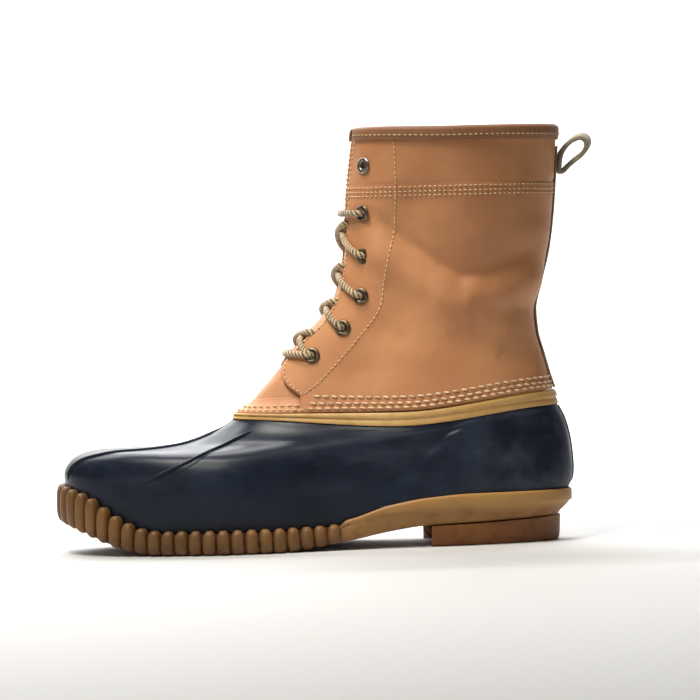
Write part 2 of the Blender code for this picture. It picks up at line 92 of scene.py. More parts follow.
Ring = namedtuple("Ring", "x_front z_front x_back z_back z_side w_front w_mid w_rear")
RINGS = [
    Ring(-141.5, 34.0, 145.2, 30.0, 18.0, 52.0, 40.0, 43.0),   # 0 feather line
    Ring(-145.0, 45.0, 150.0, 42.0, 26.0, 54.5, 41.5, 45.5),   # 1 widest line
    Ring(-139.5, 54.5, 149.0, 56.0, 39.0, 53.0, 41.5, 45.0),   # 2 front of the toe box
    Ring(-126.0, 59.0, 147.0, 66.0, 50.0, 49.0, 41.0, 44.0),   # 3
    Ring(-104.0, 59.5, 145.0, 72.0, 58.0, 43.0, 40.5, 43.0),   # 4 top of the toe box
    Ring(-80.0, 61.5, 143.5, 75.0, 63.0, 38.0, 39.5, 42.0),    # 5
    Ring(-61.0, 67.0, 142.5, 77.0, 66.5, 34.0, 38.5, 41.5),    # 6
    Ring(-46.5, 75.0, 142.0, 78.5, 69.5, 31.0, 38.0, 41.0),    # 7 top edge of the rubber
    Ring(-44.0, 78.5, 139.5, 87.3, 78.0, 30.0, 37.5, 41.0),    # 8 lower edge of the leather
    Ring(-36.0, 88.5, 136.5, 97.0, 89.5, 28.0, 36.5, 40.0),    # 9
    Ring(-24.0, 102.0, 133.5, 108.0, 102.0, 27.0, 36.0, 39.0),  # 10 instep
    Ring(-8.0, 121.0, 130.2, 121.0, 117.0, 28.0, 36.0, 38.0),  # 11 ankle
    Ring(6.5, 138.0, 129.3, 134.0, 133.0, 30.0, 37.0, 38.5),   # 12
    Ring(15.0, 155.0, 133.0, 150.0, 150.0, 33.0, 39.0, 40.0),  # 13
    Ring(19.5, 175.0, 138.0, 170.0, 171.0, 36.5, 41.5, 42.0),  # 14
    Ring(22.0, 198.0, 141.0, 191.0, 194.0, 39.5, 43.5, 44.0),  # 15 below the cuff's seam
    Ring(24.5, 219.0, 143.0, 214.0, 216.0, 42.0, 45.0, 45.0),  # 16
    Ring(26.5, 239.0, 144.8, 238.0, 238.0, 43.0, 45.5, 45.5),  # 17 collar
]
RUBBER_TOP = 7.0
LEATHER_BOTTOM = 8.0
COLLAR = 17.0
STATION_C = (-1.0, -0.65, -0.15, 0.45, 1.0)

Edge = namedtuple("Edge", "ring x")
FRONT_EDGE = [Edge(8.0, -8.0), Edge(8.9, -8.0), Edge(9.4, -14.5), Edge(9.85, -18.0), Edge(10.2, -17.0),
              Edge(10.7, -9.0), Edge(11.5, 6.0), Edge(12.5, 16.0), Edge(13.7, 20.8), Edge(15.4, 24.0),
              Edge(17.0, 28.5)]

Station = namedtuple("Station", "x bottom top rib_top lip")
SOLE_PROFILE = [
    Station(-150.0, 20.0, 34.0, 38.0, 41.0),
    Station(-142.0, 16.5, 31.0, 35.0, 38.5),
    Station(-130.0, 11.0, 25.0, 30.0, 33.0),
    Station(-117.0, 5.5, 18.5, 21.0, 24.0),
    Station(-100.0, 1.0, 13.5, 14.0, 17.0),
    Station(-88.0, 0.0, 12.0, 12.5, 14.5),
    Station(-24.0, 0.0, 12.0, 12.5, 14.5),
    Station(13.0, 4.5, 14.5, 13.5, 17.0),
    Station(41.0, 9.5, 23.0, 20.0, 25.0),
    Station(62.0, 12.0, 26.5, 22.0, 28.5),
    Station(89.0, 12.8, 28.0, 23.0, 30.2),
    Station(150.0, 15.0, 28.0, 23.0, 30.0),
]
EYELET_HEIGHTS = (110.7, 126.3, 144.4, 167.4, 191.7, 219.0)
LACED_EYELETS = 5

LoopPoint = namedtuple("LoopPoint", "out z")
LOOP_LINE = [LoopPoint(1.3, 210.5), LoopPoint(9.0, 218.5), LoopPoint(16.0, 223.5), LoopPoint(18.6, 229.5),
             LoopPoint(15.0, 233.8), LoopPoint(9.0, 231.8), LoopPoint(4.6, 227.5), LoopPoint(1.3, 222.0)]


# Curves and the last's own surface

def hermite(xs, ys, x):
    """Smooth curve through the points that never overshoots them."""
    if x <= xs[0]:
        return ys[0]
    if x >= xs[-1]:
        return ys[-1]
    k = max(i for i in range(len(xs) - 1) if xs[i] <= x)

    def secant(i):
        i = min(max(i, 0), len(xs) - 2)
        return (ys[i + 1] - ys[i]) / (xs[i + 1] - xs[i])

    def slope(i):
        before, after = secant(i - 1), secant(i)
        return 0.0 if before * after <= 0.0 else 2.0 * before * after / (before + after)

    width = xs[k + 1] - xs[k]
    t = (x - xs[k]) / width
    start = (1 + 2 * t) * (1 - t) ** 2 * ys[k] + t * (1 - t) ** 2 * width * slope(k)
    end = t * t * (3 - 2 * t) * ys[k + 1] + t * t * (t - 1) * width * slope(k + 1)
    return start + end


def column(rows, key, value, x):
    return hermite([getattr(r, key) for r in rows], [getattr(r, value) for r in rows], x)


@lru_cache(maxsize=None)
def sole_at(value, x):
    return column(SOLE_PROFILE, "x", value, x)


def sole(value, x):
    """A line of the sole's side view, to a twentieth of a millimetre in x."""
    return sole_at(value, round(x * 20) / 20)


def ease(t):
    t = min(max(t, 0.0), 1.0)
    return t * t * (3 - 2 * t)


def spine(x):
    return TOE_IN * max(0.0, (-20.0 - x) / 125.0) ** 2


@lru_cache(maxsize=None)
def ring_at(v):
    levels = range(len(RINGS))
    return Ring(*(hermite(levels, [getattr(r, f) for r in RINGS], v) for f in Ring._fields))


def ring_point(ring, u):
    """A point of one ring: u is 0 at the toe, pi at the heel, and positive on the outer side."""
    cosine = math.cos(u)
    c = math.copysign(abs(cosine) ** (2 / ROUNDNESS), cosine)
    s = abs(math.sin(u)) ** (2 / ROUNDNESS)
    x = (ring.x_front + ring.x_back) / 2 - (ring.x_back - ring.x_front) / 2 * c
    widths = (ring.w_rear, ring.w_rear, ring.w_mid, ring.w_front, ring.w_front)
    half = hermite(STATION_C, widths, c)
    side = -1.0 if math.sin(u) > 0 else 1.0
    z = ring.z_side + (ring.z_front - ring.z_side) * ease(c) + (ring.z_back - ring.z_side) * ease(-c)
    return Vector((x, side * half * s + spine(x), z))


def skin(u, v):
    """The outside of the upper at ring number v."""
    point = ring_point(ring_at(v), u)
    if v < 1.0:
        point.z = (1 - v) * (sole("top", point.x) + GAP) + v * point.z
    return point


def normal(u, v):
    du = skin(u + 0.01, v) - skin(u - 0.01, v)
    low, high = max(v - 0.05, 0.0), min(v + 0.05, COLLAR)
    return du.cross(skin(u, high) - skin(u, low)).normalized()


def stand_off(u, v, distance):
    return skin(u, v) + normal(u, v) * distance


def walk(v, u, distance):
    """The angle that lies a distance further back along ring v, on the outer side."""
    step = 0.01
    here = skin(u, v)
    while distance > 0 and u < math.pi:
        there = skin(u + step, v)
        length = (there - here).length
        if length > distance:
            return u + step * distance / length
        distance -= length
        u, here = u + step, there
    return u


@lru_cache(maxsize=None)
def edge_angle(v):
    """The angle of the leather's front edge at ring v."""
    ring = ring_at(v)
    half = (ring.x_back - ring.x_front) / 2
    c = ((ring.x_front + ring.x_back) / 2 - column(FRONT_EDGE, "ring", "x", v)) / half
    return math.acos(c ** (ROUNDNESS / 2))


@lru_cache(maxsize=None)
def facing_angle(v, distance):
    return walk(v, edge_angle(v), distance)


@lru_cache(maxsize=None)
def level(height, from_edge):
    """The ring number at which a line that runs along the front edge reaches a height."""
    low, high = LEATHER_BOTTOM, COLLAR
    for _ in range(24):
        middle = (low + high) / 2
        if skin(walk(middle, edge_angle(middle), from_edge), middle).z < height:
            low = middle
        else:
            high = middle
    return low


def next_ring(u, v, distance):
    """The ring number a distance above (or, negative, below) ring v at angle u."""
    rise = (skin(u, min(v + 0.1, COLLAR)) - skin(u, v)).length
    return v + 0.1 * distance / rise


def locate(x, z):
    """The angle and ring number of a place on the outer side that is given as in a side view."""
    def angle(v):
        ring = ring_at(v)
        c = ((ring.x_front + ring.x_back) / 2 - x) / ((ring.x_back - ring.x_front) / 2)
        c = min(max(c, -1.0), 1.0)
        return math.acos(math.copysign(abs(c) ** (ROUNDNESS / 2), c))

    low, high = 0.0, COLLAR
    for _ in range(16):
        middle = (low + high) / 2
        if skin(angle(middle), middle).z < z:
            low = middle
        else:
            high = middle
    return angle(low), low


def smooth_line(points, count):
    """A smooth line through the points, as evenly spaced points, for points of any length."""
    lengths = [0.0]
    for a, b in zip(points, points[1:]):
        lengths.append(lengths[-1] + math.dist(a, b))
    axes = list(zip(*points))
    along = [lengths[-1] * i / (count - 1) for i in range(count)]
    return [tuple(hermite(lengths, axis, s) for axis in axes) for s in along]


# Meshes

def finish(bm, name, finish_material, node=None, smooth=50.0):
    """Makes the object, on the root body, from a mesh in millimetres."""
    bmesh.ops.translate(bm, vec=-MIDDLE, verts=bm.verts)
    bmesh.ops.scale(bm, vec=(MM, MM, MM), verts=bm.verts)
    mesh = bpy.data.meshes.new(name)
    bm.to_mesh(mesh)
    bm.free()
    mesh.shade_smooth()
    mesh.set_sharp_from_angle(angle=math.radians(smooth))
    mesh.materials.append(finish_material)
    made = bpy.data.objects.new(name, mesh)
    bpy.context.scene.collection.objects.link(made)
    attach(made, "root")
    if node:
        for one in (node if isinstance(node, (list, tuple)) else [node]):
            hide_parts(one)
    return made


def sheet(place, across, along, bm=None):
    """A grid whose two directions, each from 0 to 1, are placed in space; it keeps them as its UV map."""
    bm = bm or bmesh.new()
    if not bm.loops.layers.uv.get("UVMap"):
        bm.loops.layers.uv.new("UVMap")
    made = bmesh.ops.create_grid(bm, x_segments=across, y_segments=along, size=0.5, calc_uvs=True)["verts"]
    for vert in made:
        vert.co = place(vert.co.x + 0.5, vert.co.y + 0.5)
    return bm


def weld(bm):
    """Closes the seam where a sheet's two edges meet."""
    bmesh.ops.remove_doubles(bm, verts=bm.verts, dist=0.002)
    return bm


def solid(obj, thickness):
    """Gives a sheet its wall, in millimetres, to the inside."""
    wall = obj.modifiers.new("wall", "SOLIDIFY")
    wall.thickness = thickness * MM
    wall.offset = -1.0
    return obj


def tube_points(points, radius, sides, bm):
    """A round cord along points, which narrows to a point at both ends."""
    count = len(points)
    frames = []
    for i, point in enumerate(points):
        ahead = (points[min(i + 1, count - 1)] - points[max(i - 1, 0)]).normalized()
        sideways = ahead.cross(Vector((0, 0, 1)))
        sideways = sideways.normalized() if sideways.length > 1e-6 else ahead.orthogonal().normalized()
        frames.append((point, sideways, sideways.cross(ahead)))

    def place(s, t):
        i = min(int(t * (count - 1) + 0.5), count - 1)
        point, sideways, lift = frames[i]
        closing = 0.02 if t < 1e-6 or t > 1 - 1e-6 else 1.0
        angle = 2 * math.pi * s
        return point + (sideways * math.cos(angle) + lift * math.sin(angle)) * radius * closing

    return sheet(place, sides, count - 1, bm)


def stitch(bm, start, end, out, width, sag):
    """One stitch, as a small bent pillow between two needle holes."""
    middle = (start + end) / 2 + out * sag
    length = (end - start).length
    along = (end - start).normalized()
    sideways = along.cross(out).normalized()
    made = bmesh.ops.create_icosphere(bm, subdivisions=1, radius=1.0)["verts"]
    for vert in made:
        x, y, z = vert.co
        vert.co = middle + along * x * length / 2 + sideways * y * width / 2 \
            + out * (z * width / 2 - abs(x) * sag * 0.7)


def stitch_row(bm, places, pitch, length, width, proud, tilt=0.0, surface=None):
    """Stitches at even steps along surface places, which are (angle, ring number) pairs."""
    points = [(surface or stand_off)(u, v, proud) for u, v in places]
    outs = [normal(u, v) for u, v in places]
    lengths = [0.0]
    for a, b in zip(points, points[1:]):
        lengths.append(lengths[-1] + (b - a).length)

    def at(s):
        k = min(max(i for i in range(len(lengths)) if lengths[i] <= s), len(lengths) - 2)
        t = (s - lengths[k]) / (lengths[k + 1] - lengths[k])
        return points[k].lerp(points[k + 1], t), outs[k].lerp(outs[k + 1], t).normalized()

    count = int(lengths[-1] / pitch)
    for i in range(count):
        s = (i + 0.5) * lengths[-1] / count
        start, out = at(max(s - length / 2, 0.0))
        end, _ = at(min(s + length / 2, lengths[-1]))
        side = (end - start).cross(out).normalized() * tilt
        stitch(bm, start - side, end + side, out, width, width * 0.35)
    return bm


# Rubber shell

def toe_warp(s):
    """Angle round the boot for a share from 0 to 1, with closer columns at the toe's centre line."""
    t = 2 * s - 1
    return math.copysign(math.pi * abs(t) ** 1.35, t)


def bump_line(u, v, line, width):
    """How near a place lies to a line of (angle, ring number) pairs, from 1 on it to 0 beyond its width."""
    best = 1e9
    for (u0, v0), (u1, v1) in zip(line, line[1:]):
        du, dv = u1 - u0, v1 - v0
        t = min(max(((u - u0) * du + (v - v0) * dv) / (du * du + dv * dv), 0.0), 1.0)
        best = min(best, math.hypot((u - u0 - t * du) * 9.0, v - v0 - t * dv))
    return ease(1.0 - best / width)


def outer_line(places, between=1):
    """(angle, ring number) pairs along a line that is given by its places in a side view."""
    dense = [places[0]]
    for (x0, z0), (x1, z1) in zip(places, places[1:]):
        shares = [k / between for k in range(1, between + 1)]
        dense += [(x0 + (x1 - x0) * share, z0 + (z1 - z0) * share) for share in shares]
    return [locate(x, z) for x, z in dense]


FLEX_CREASE = outer_line([(77.0, 66.0), (66.0, 58.0), (55.0, 49.0), (46.0, 42.0)])
VAMP_LINE = outer_line([(-32.5, 70.5), (-56.0, 60.3), (-81.0, 50.2), (-100.0, 41.8), (-113.0, 33.8)], 12)
RIDGE_IN_SIDE_VIEW = [(-141.0, 38.0), (-139.0, 42.6), (-134.0, 50.6), (-123.4, 54.8), (-97.8, 57.4),
                      (-75.6, 61.0), (-57.0, 67.0)]
CENTRE_LINE = [(0.6 * u, v) for u, v in outer_line(RIDGE_IN_SIDE_VIEW, 9)]
CENTRE_LINE.append((0.0, RUBBER_TOP - 0.08))
VAMP_HOLLOW = outer_line([(-52.0, 68.0), (-75.0, 58.5), (-98.0, 51.0)])
BEHIND_CREASE = [(FLEX_CREASE[0][0] + 0.06, 5.6), (FLEX_CREASE[-1][0] + 0.10, 2.6)]


def rubber_relief(u, v):
    """Soft creases and hollows of the moulded rubber, in millimetres."""
    au = abs(u)
    relief = -1.7 * bump_line(au, v, FLEX_CREASE, 0.8) * (1.0 if u > 0 else 0.6)
    relief += 0.8 * bump_line(au, v, BEHIND_CREASE, 1.0)
    relief -= 0.35 * bump_line(au, v, VAMP_HOLLOW, 2.2)
    along_side = ease((au - 1.2) / 0.6) * ease((2.9 - au) / 0.5)
    relief += 0.35 * math.sin(2.1 * v + 3.0 * au) * along_side * 0.5
    return relief


def make_rubber_shell(rubber):
    def place(s, t):
        u, v = toe_warp(s), RUBBER_TOP * t
        return stand_off(u, v, rubber_relief(u, v))

    shell = finish(weld(sheet(place, int(260 * FINE), int(56 * FINE))), "rubber_shell_skin", rubber,
                   "rubber_shell")
    return solid(shell, RUBBER_WALL)


def settled(line, count):
    """The line with its kinks averaged out, in even steps."""
    for _ in range(6):
        line = [line[0]] + [tuple((a + 2 * b + c) / 4 for a, b, c in zip(*three))
                            for three in zip(line, line[1:], line[2:])] + [line[-1]]
    return smooth_line(line, count)


def bead(bm, line, width, height, sink=0.5):
    """A raised line over the skin: places are (angle, ring number) pairs, and it fades out at both ends."""
    count = len(line)

    def place(s, t):
        i = min(int(t * (count - 1) + 0.5), count - 1)
        u, v = line[i]
        point, out = skin(u, v), normal(u, v)
        before, after = skin(*line[max(i - 1, 0)]), skin(*line[min(i + 1, count - 1)])
        sideways = (after - before).normalized().cross(out).normalized()
        fade = ease(t * 12) * ease((1 - t) * 6)
        a = math.pi * s
        rise = math.sin(a) * (height + sink) * fade - sink + rubber_relief(u, v)
        return point - sideways * math.cos(a) * width / 2 * (0.35 + 0.65 * fade) + out * rise

    sheet(place, 8, count - 1, bm)


def make_vamp_lines(rubber):
    """The centre ridge from the toe to the throat, and two fine lines along each side of the vamp."""
    bm = bmesh.new()
    bead(bm, settled(CENTRE_LINE, 70), 2.6, 1.25)
    side_line = settled(VAMP_LINE, 60)
    low_line = [(u + 0.035, v - 0.16) for u, v in side_line[24:52]]
    for sign in (1, -1):
        bead(bm, [(sign * u, v) for u, v in side_line][::sign], 2.2, 1.3)
        bead(bm, [(sign * u, v) for u, v in low_line][::sign], 1.3, 0.35)
    return finish(bm, "vamp_ridges", rubber, "rubber_shell")


def make_heel_seam(rubber):
    """The strip over the rubber's back seam."""
    def place(s, t):
        u, v = math.pi + 0.05 * (2 * s - 1), 0.35 + 6.3 * t
        edge = ease(min(s, 1 - s) * 9) * ease(min(t, 1 - t) * 16)
        return stand_off(u, v, -0.4 + 1.3 * edge)

    return finish(sheet(place, 12, 40), "heel_seam_strip", rubber, "rubber_shell")


# Gum sole, heel block, top band

def plan(u, offset):
    """The sole's outline from above, moved out by an offset."""
    ring = RINGS[1]._replace(x_back=146.6, w_mid=41.0, w_rear=45.0)
    here = ring_point(ring, u)
    along = ring_point(ring, u + 0.01) - ring_point(ring, u - 0.01)
    along.z = 0.0
    out = Vector((along.y, -along.x, 0.0)).normalized()
    if out.dot(Vector((here.x, here.y - spine(here.x), 0.0))) < 0:
        out = -out
    return here + out * offset


def plan_places(count=720):
    """Angles round the sole's outline with the distance travelled, and its whole length."""
    rows, travelled = [], 0.0
    here = plan(-math.pi, 0.0)
    for i in range(count + 1):
        u = -math.pi + 2 * math.pi * i / count
        there = plan(u, 0.0)
        travelled += (there - here).xy.length
        here = there
        rows.append((travelled, u))
    return rows


PLAN_LINE = plan_places()


def plan_angle(distance):
    return hermite([d for d, _ in PLAN_LINE], [u for _, u in PLAN_LINE], distance)


def sole_side(u, x):
    """The gum's side without its ribs: (offset, height) pairs, from underneath up to the bed."""
    rear = ease((x - RIB_END_X) / 45.0)
    bottom, rib_top, lip, top = (sole(k, x) for k in ("bottom", "rib_top", "lip", "top"))
    ribbed = 1 - ease((x - RIB_END_X + 5.0) / 7.0)
    proud = FOXING_PROUD * (1 - ribbed) + 0.7 * ribbed
    lip = lip * (1 - ribbed) + min(lip, rib_top - 0.6) * ribbed
    low = (1 - rear) * proud + rear * -HEEL_INSET
    strip = rib_top + 0.2 - 2.4 * ribbed
    return [
        (-24.0, bottom + 0.02), (low - 4.0, bottom + 0.02), (low - 1.6, bottom + 0.25),
        (low - 0.5, bottom + 0.9),
        (low, bottom + 2.0), (low * 0.5 + (1 - rear) * proud * 0.5 + rear * 0.2, (bottom + strip) / 2),
        ((1 - rear) * proud + rear * 0.4, strip - 1.6),
        ((1 - rear) * proud + rear * 0.9, strip - 0.7), (proud - 0.35, strip - 0.1), (proud, strip + 0.5),
        (proud, lip - 1.6), (proud - 0.2, lip - 0.8), (proud - 0.7, lip - 0.25), (proud - 1.3, lip),
        (GAP + 0.7, lip), (GAP + 0.15, lip - 0.35), (GAP, lip - 0.9), (GAP, top), (-24.0, top)]


def make_gum_sole(gum):
    """The sole's smooth body, closed across under the foot and on the bed."""
    columns = int(420 * FINE)
    levels = len(sole_side(0.0, 0.0)) - 1
    total = PLAN_LINE[-1][0]
    rows = [plan_angle(total * i / columns) for i in range(columns)]

    def place(s, t):
        u = rows[int(s * columns + 0.5) % columns]
        x = plan(u, 0.0).x
        offset, z = sole_side(u, x)[int(t * levels + 0.5)]
        if offset < -20.0:
            point = plan(u, 0.0)
            return Vector((point.x * 0.72 + 1.0, (point.y - spine(x)) * 0.25 + spine(x), z))
        point = plan(u, offset)
        point.z = z
        return point

    bm = weld(sheet(place, columns, levels))
    bmesh.ops.holes_fill(bm, edges=[e for e in bm.edges if e.is_boundary], sides=0)
    bmesh.ops.recalc_face_normals(bm, faces=bm.faces)
    return finish(bm, "gum_sole", gum, "outsole", 40.0)


def rib_places():
    """Where the ribs stand: distances along the outline on both sides of the toe."""
    total = PLAN_LINE[-1][0]
    toe = hermite([u for _, u in PLAN_LINE], [d for d, _ in PLAN_LINE], 0.0)
    places = [toe]
    for side in (-1, 1):
        distance = toe + side * RIB_PITCH
        while 0 < distance < total and plan(plan_angle(distance), 0.0).x < RIB_END_X - 1.0:
            places.append(distance)
            distance += side * RIB_PITCH
    return places


def make_ribs(gum):
    """Rounded chain ribs round the forefoot, each a pad that bulges out and rolls under the sole."""
    bm = bmesh.new()
    dice = random.Random(7)
    for distance in rib_places():
        u = plan_angle(distance)
        centre = plan(u, 0.0)
        x = centre.x
        bottom, top = sole("bottom", x), sole("rib_top", x)
        toe = ease((-96.0 - x) / 30.0)
        ending = ease((RIB_END_X - x) / 22.0)
        out = (plan(u, 1.0) - plan(u, 0.0)).normalized()
        along = Vector((-out.y, out.x, 0.0))
        height = (top - bottom) * (1.0 + 0.12 * toe) + 1.9
        half = RIB_PITCH * (0.485 + 0.012 * dice.uniform(-1, 1))
        proud = FOXING_PROUD + RIB_PROUD * (0.35 + 0.65 * ending) + 0.3 * toe
        lean = 0.10 * dice.uniform(-1, 1)
        made = bmesh.ops.create_uvsphere(bm, u_segments=20, v_segments=12, radius=1.0)["verts"]
        for vert in made:
            a, b, c = vert.co
            box = 2.0 / 2.8
            c = math.copysign(abs(c) ** box, c)
            b = math.copysign(abs(b) ** 0.72, b)
            a = math.copysign(abs(a) ** 0.62, a)
            side = b * half * (1.0 - 0.12 * c * (1 - toe))
            depth = 4.6 * a
            middle = bottom + height / 2 - 0.1
            point = centre + out * (proud - 4.6 + depth) + along * (side + lean * c * 2.0)
            point.z = max(middle + c * height / 2, bottom + 0.04)
            under = ease((bottom + 3.0 - point.z) / 3.0)
            point -= out * under * 1.1 * (1 if a > 0 else 0)
            vert.co = point
    return finish(bm, "chain_ribs", gum, "outsole", 60.0)


def make_heel_block(gum):
    """The heel: a rounded block under the rear with a straight breast, set in under the sole."""
    start = 1.3
    while plan(start, -HEEL_INSET).x < HEEL_BREAST_X:
        start += 0.005
    columns = 72
    profile = [(-9.0, 0.0), (-4.0, 0.0), (-2.3, 0.15), (-1.3, 0.8), (-0.9, 1.8), (-0.5, 5.0), (0.0, None)]
    levels = len(profile) - 1

    def place(s, t):
        u = start + (2 * math.pi - 2 * start) * s
        inset, z = profile[int(t * levels + 0.5)]
        point = plan(u, -HEEL_INSET + inset)
        point.z = sole("bottom", point.x) - GAP if z is None else z
        breast = min(s, 1 - s)
        if breast < 0.012:
            point.x += 0.8 * (1 - breast / 0.012)
        return point

    bm = weld(sheet(place, columns, levels))
    bmesh.ops.holes_fill(bm, edges=[e for e in bm.edges if e.is_boundary], sides=0)
    bmesh.ops.triangulate(bm, faces=[f for f in bm.faces if len(f.verts) > 4])
    bmesh.ops.recalc_face_normals(bm, faces=bm.faces)
    return finish(bm, "heel_block", gum, "heel", 35.0)


def make_top_band(gum):
    """The gum band between rubber and leather, with its rolled lip and a fine groove under it."""
    def profile(u):
        low = next_ring(u, RUBBER_TOP, GAP)
        high = LEATHER_BOTTOM - (low - RUBBER_TOP)
        span = high - low
        return [(low, 0.0), (low, 0.6), (low + span * 0.12, 0.85), (low + span * 0.42, 0.9),
                (low + span * 0.50, 0.55), (low + span * 0.56, 0.95), (low + span * 0.64, 1.45),
                (low + span * 0.76, BAND_PROUD), (low + span * 0.88, BAND_PROUD), (high, BAND_PROUD - 0.5),
                (high, 0.5), (high, -RUBBER_WALL), (low, -RUBBER_WALL), (low, 0.0)]

    levels = len(profile(0.0)) - 1

    def place(s, t):
        u = toe_warp(s)
        v, out = profile(u)[int(t * levels + 0.5)]
        return stand_off(u, v, out)

    bm = weld(sheet(place, int(240 * FINE), levels))
    bmesh.ops.recalc_face_normals(bm, faces=bm.faces)
    return finish(bm, "gum_top_band", gum, "top_band", 50.0)


# Leather shaft

@lru_cache(maxsize=None)
def edge_table(v):
    """Distances back from the leather's front edge along ring v, each with its angle."""
    u = edge_angle(v)
    here, travelled, table = skin(u, v), 0.0, [(0.0, u)]
    while travelled < 40.0:
        u += 0.02
        there = skin(u, v)
        travelled += (there - here).length
        here = there
        table.append((travelled, u))
    return table


def facing_angle(v, distance):
    """The angle that lies a distance behind the front edge at ring v, on the outer side."""
    table = edge_table(v)
    for (d0, u0), (d1, u1) in zip(table, table[1:]):
        if d1 >= distance:
            return u0 + (u1 - u0) * (distance - d0) / (d1 - d0)
    return table[-1][1]


def at_height(u, z, low=RUBBER_TOP, high=COLLAR):
    """The ring number where the skin reaches a height at angle u."""
    for _ in range(18):
        middle = (low + high) / 2
        if skin(u, middle).z < z:
            low = middle
        else:
            high = middle
    return low


def above_line(x, z, line):
    """Signed distance above a line of (x, z) pairs, and how far along it the nearest place lies, 0 to 1."""
    best, sign, along = 1e9, 1.0, 0.0
    for i, ((x0, z0), (x1, z1)) in enumerate(zip(line, line[1:])):
        dx, dz = x1 - x0, z1 - z0
        t = min(max(((x - x0) * dx + (z - z0) * dz) / (dx * dx + dz * dz), 0.0), 1.0)
        gone = math.hypot(x - x0 - t * dx, z - z0 - t * dz)
        if gone < best:
            best, along = gone, (i + t) / (len(line) - 1)
            sign = 1.0 if dx * (z - z0) - dz * (x - x0) > 0 else -1.0
    return best * sign, along


def soft(distance, width):
    return math.exp(-(distance / width) ** 2)


# Creases on the outer side: their lines as (x, z) pairs, depth, width, and the bulge under each
Fold = namedtuple("Fold", "line depth width bulge below")
FOLDS = [
    Fold([(24, 196), (44, 184), (58, 172), (72, 162), (85, 155), (100, 157.5), (118, 164), (136, 176)],
         4.2, 4.4, 4.0, 15.0),
    Fold([(88, 141), (100, 135), (113, 135), (127, 140)], 1.2, 5.5, 0.8, 12.0),
    Fold([(105, 112), (116, 106), (131, 104)], 1.2, 5.0, 0.7, 9.0),
    Fold([(40, 152), (56, 146), (70, 140)], 0.7, 6.0, 0.5, 10.0),
    Fold([(36, 126), (52, 119), (66, 108)], 0.5, 6.0, 0.4, 9.0),
]
Swell = namedtuple("Swell", "x z radius height")
SWELLS = [Swell(124, 153, 8.0, 1.1), Swell(112, 125, 9.0, 0.8), Swell(70, 130, 20.0, 0.9),
          Swell(96, 204, 24.0, 1.6), Swell(96, 176, 9.0, 1.2), Swell(60, 200, 16.0, -0.7),
          Swell(130, 190, 9.0, -0.8)]


def leather_relief(point, outer):
    """Creases and swells of the worn leather, in millimetres."""
    share = 1.0 if outer else 0.55
    x, z = point.x + (0.0 if outer else 5.0), point.z - (0.0 if outer else 4.0)
    relief = 0.0
    for fold in FOLDS:
        gone, along = above_line(x, z, fold.line)
        ends = ease(along * 5) * ease((1 - along) * 5)
        narrow, broad = soft(gone, fold.width), soft(gone, fold.width * 3.2)
        crease = -0.45 * fold.depth * narrow - 0.75 * fold.depth * broad
        relief += ends * (crease + fold.bulge * soft(gone + fold.below, fold.below * 0.75))
    for swell in SWELLS:
        relief += swell.height * soft(math.hypot(x - swell.x, z - swell.z), swell.radius)
    place = Vector((point.x * 0.02, 0.4 if outer else 1.7, point.z * 0.026))
    relief += 0.7 * noise.noise(place) + 0.28 * noise.noise(place * 3.1)
    quiet = ease((z - 94.0) / 14.0) * ease((214.0 - z) / 14.0)
    return relief * share * quiet


def shaft_place(u, v, extra=0.0):
    """The leather's outside with its creases, stood off by a further distance."""
    point = skin(u, v)
    outer = math.sin(u) > 0
    near_front = ease((facing_share(u, v) - 0.3) / 0.9)
    near_back = ease(abs(u - math.pi) / 0.35)
    relief = leather_relief(point, outer) * near_front * near_back
    return stand_off(u, v, OVERLAY_STEP + relief + extra)


def facing_share(u, v):
    """How far back over the eyestay's width a place lies: 0 on the front edge and 1 behind its back row."""
    around = u if u < math.pi else 2 * math.pi - u
    edge = edge_angle(v)
    return (around - edge) / (facing_angle(v, FACING_WIDTH) - edge)


ROW_HEIGHTS = (2.2, 4.5, 7.4)
CUFF_ROW_Z = (206.2, 203.6, 201.3)


def shaft_angle(s, v):
    """Angle round the shaft for a share from 0 to 1, with closer columns over both eyestays."""
    around = min(s, 1 - s) * 2
    if around < 0.3:
        u = facing_angle(v, 28.0 * around / 0.3)
    else:
        start = facing_angle(v, 28.0)
        u = start + (math.pi - start) * (around - 0.3) / 0.7
    return u if s <= 0.5 else 2 * math.pi - u


def make_leather_shaft(leather):
    bottom = LEATHER_BOTTOM + 0.035

    def place(s, t):
        v = bottom + (COLLAR - bottom) * t ** 1.08
        u = shaft_angle(s, v)
        point = skin(u, v)
        seam = -0.35 * soft(point.z - CUFF_ROW_Z[0] - 1.6, 0.8)
        lower = (v - bottom) * 10.0
        seam -= 0.5 * soft(lower, 1.0)
        rim = min(facing_share(u, v) * FACING_WIDTH, 3.0)
        seam -= 0.35 * soft(rim, 0.9)
        return shaft_place(u, v, seam)

    bm = sheet(place, int(230 * FINE), int(180 * FINE))
    shaft = finish(bm, "leather_upper", leather, "leather_shaft", 60.0)
    solid(shaft, LEATHER_WALL + OVERLAY_STEP)
    punch(shaft)
    return shaft


def eyelet_place(height, inner_side):
    """Centre and outward direction of an eyelet on one side of the throat."""
    v = level(height, EYELET_FROM_EDGE)
    u = facing_angle(v, EYELET_FROM_EDGE)
    if inner_side:
        u = 2 * math.pi - u
    return stand_off(u, v, OVERLAY_STEP), normal(u, v)


EYELETS = [(side, row, *eyelet_place(height, side == "inner"))
           for row, height in enumerate(EYELET_HEIGHTS) for side in ("outer", "inner")]


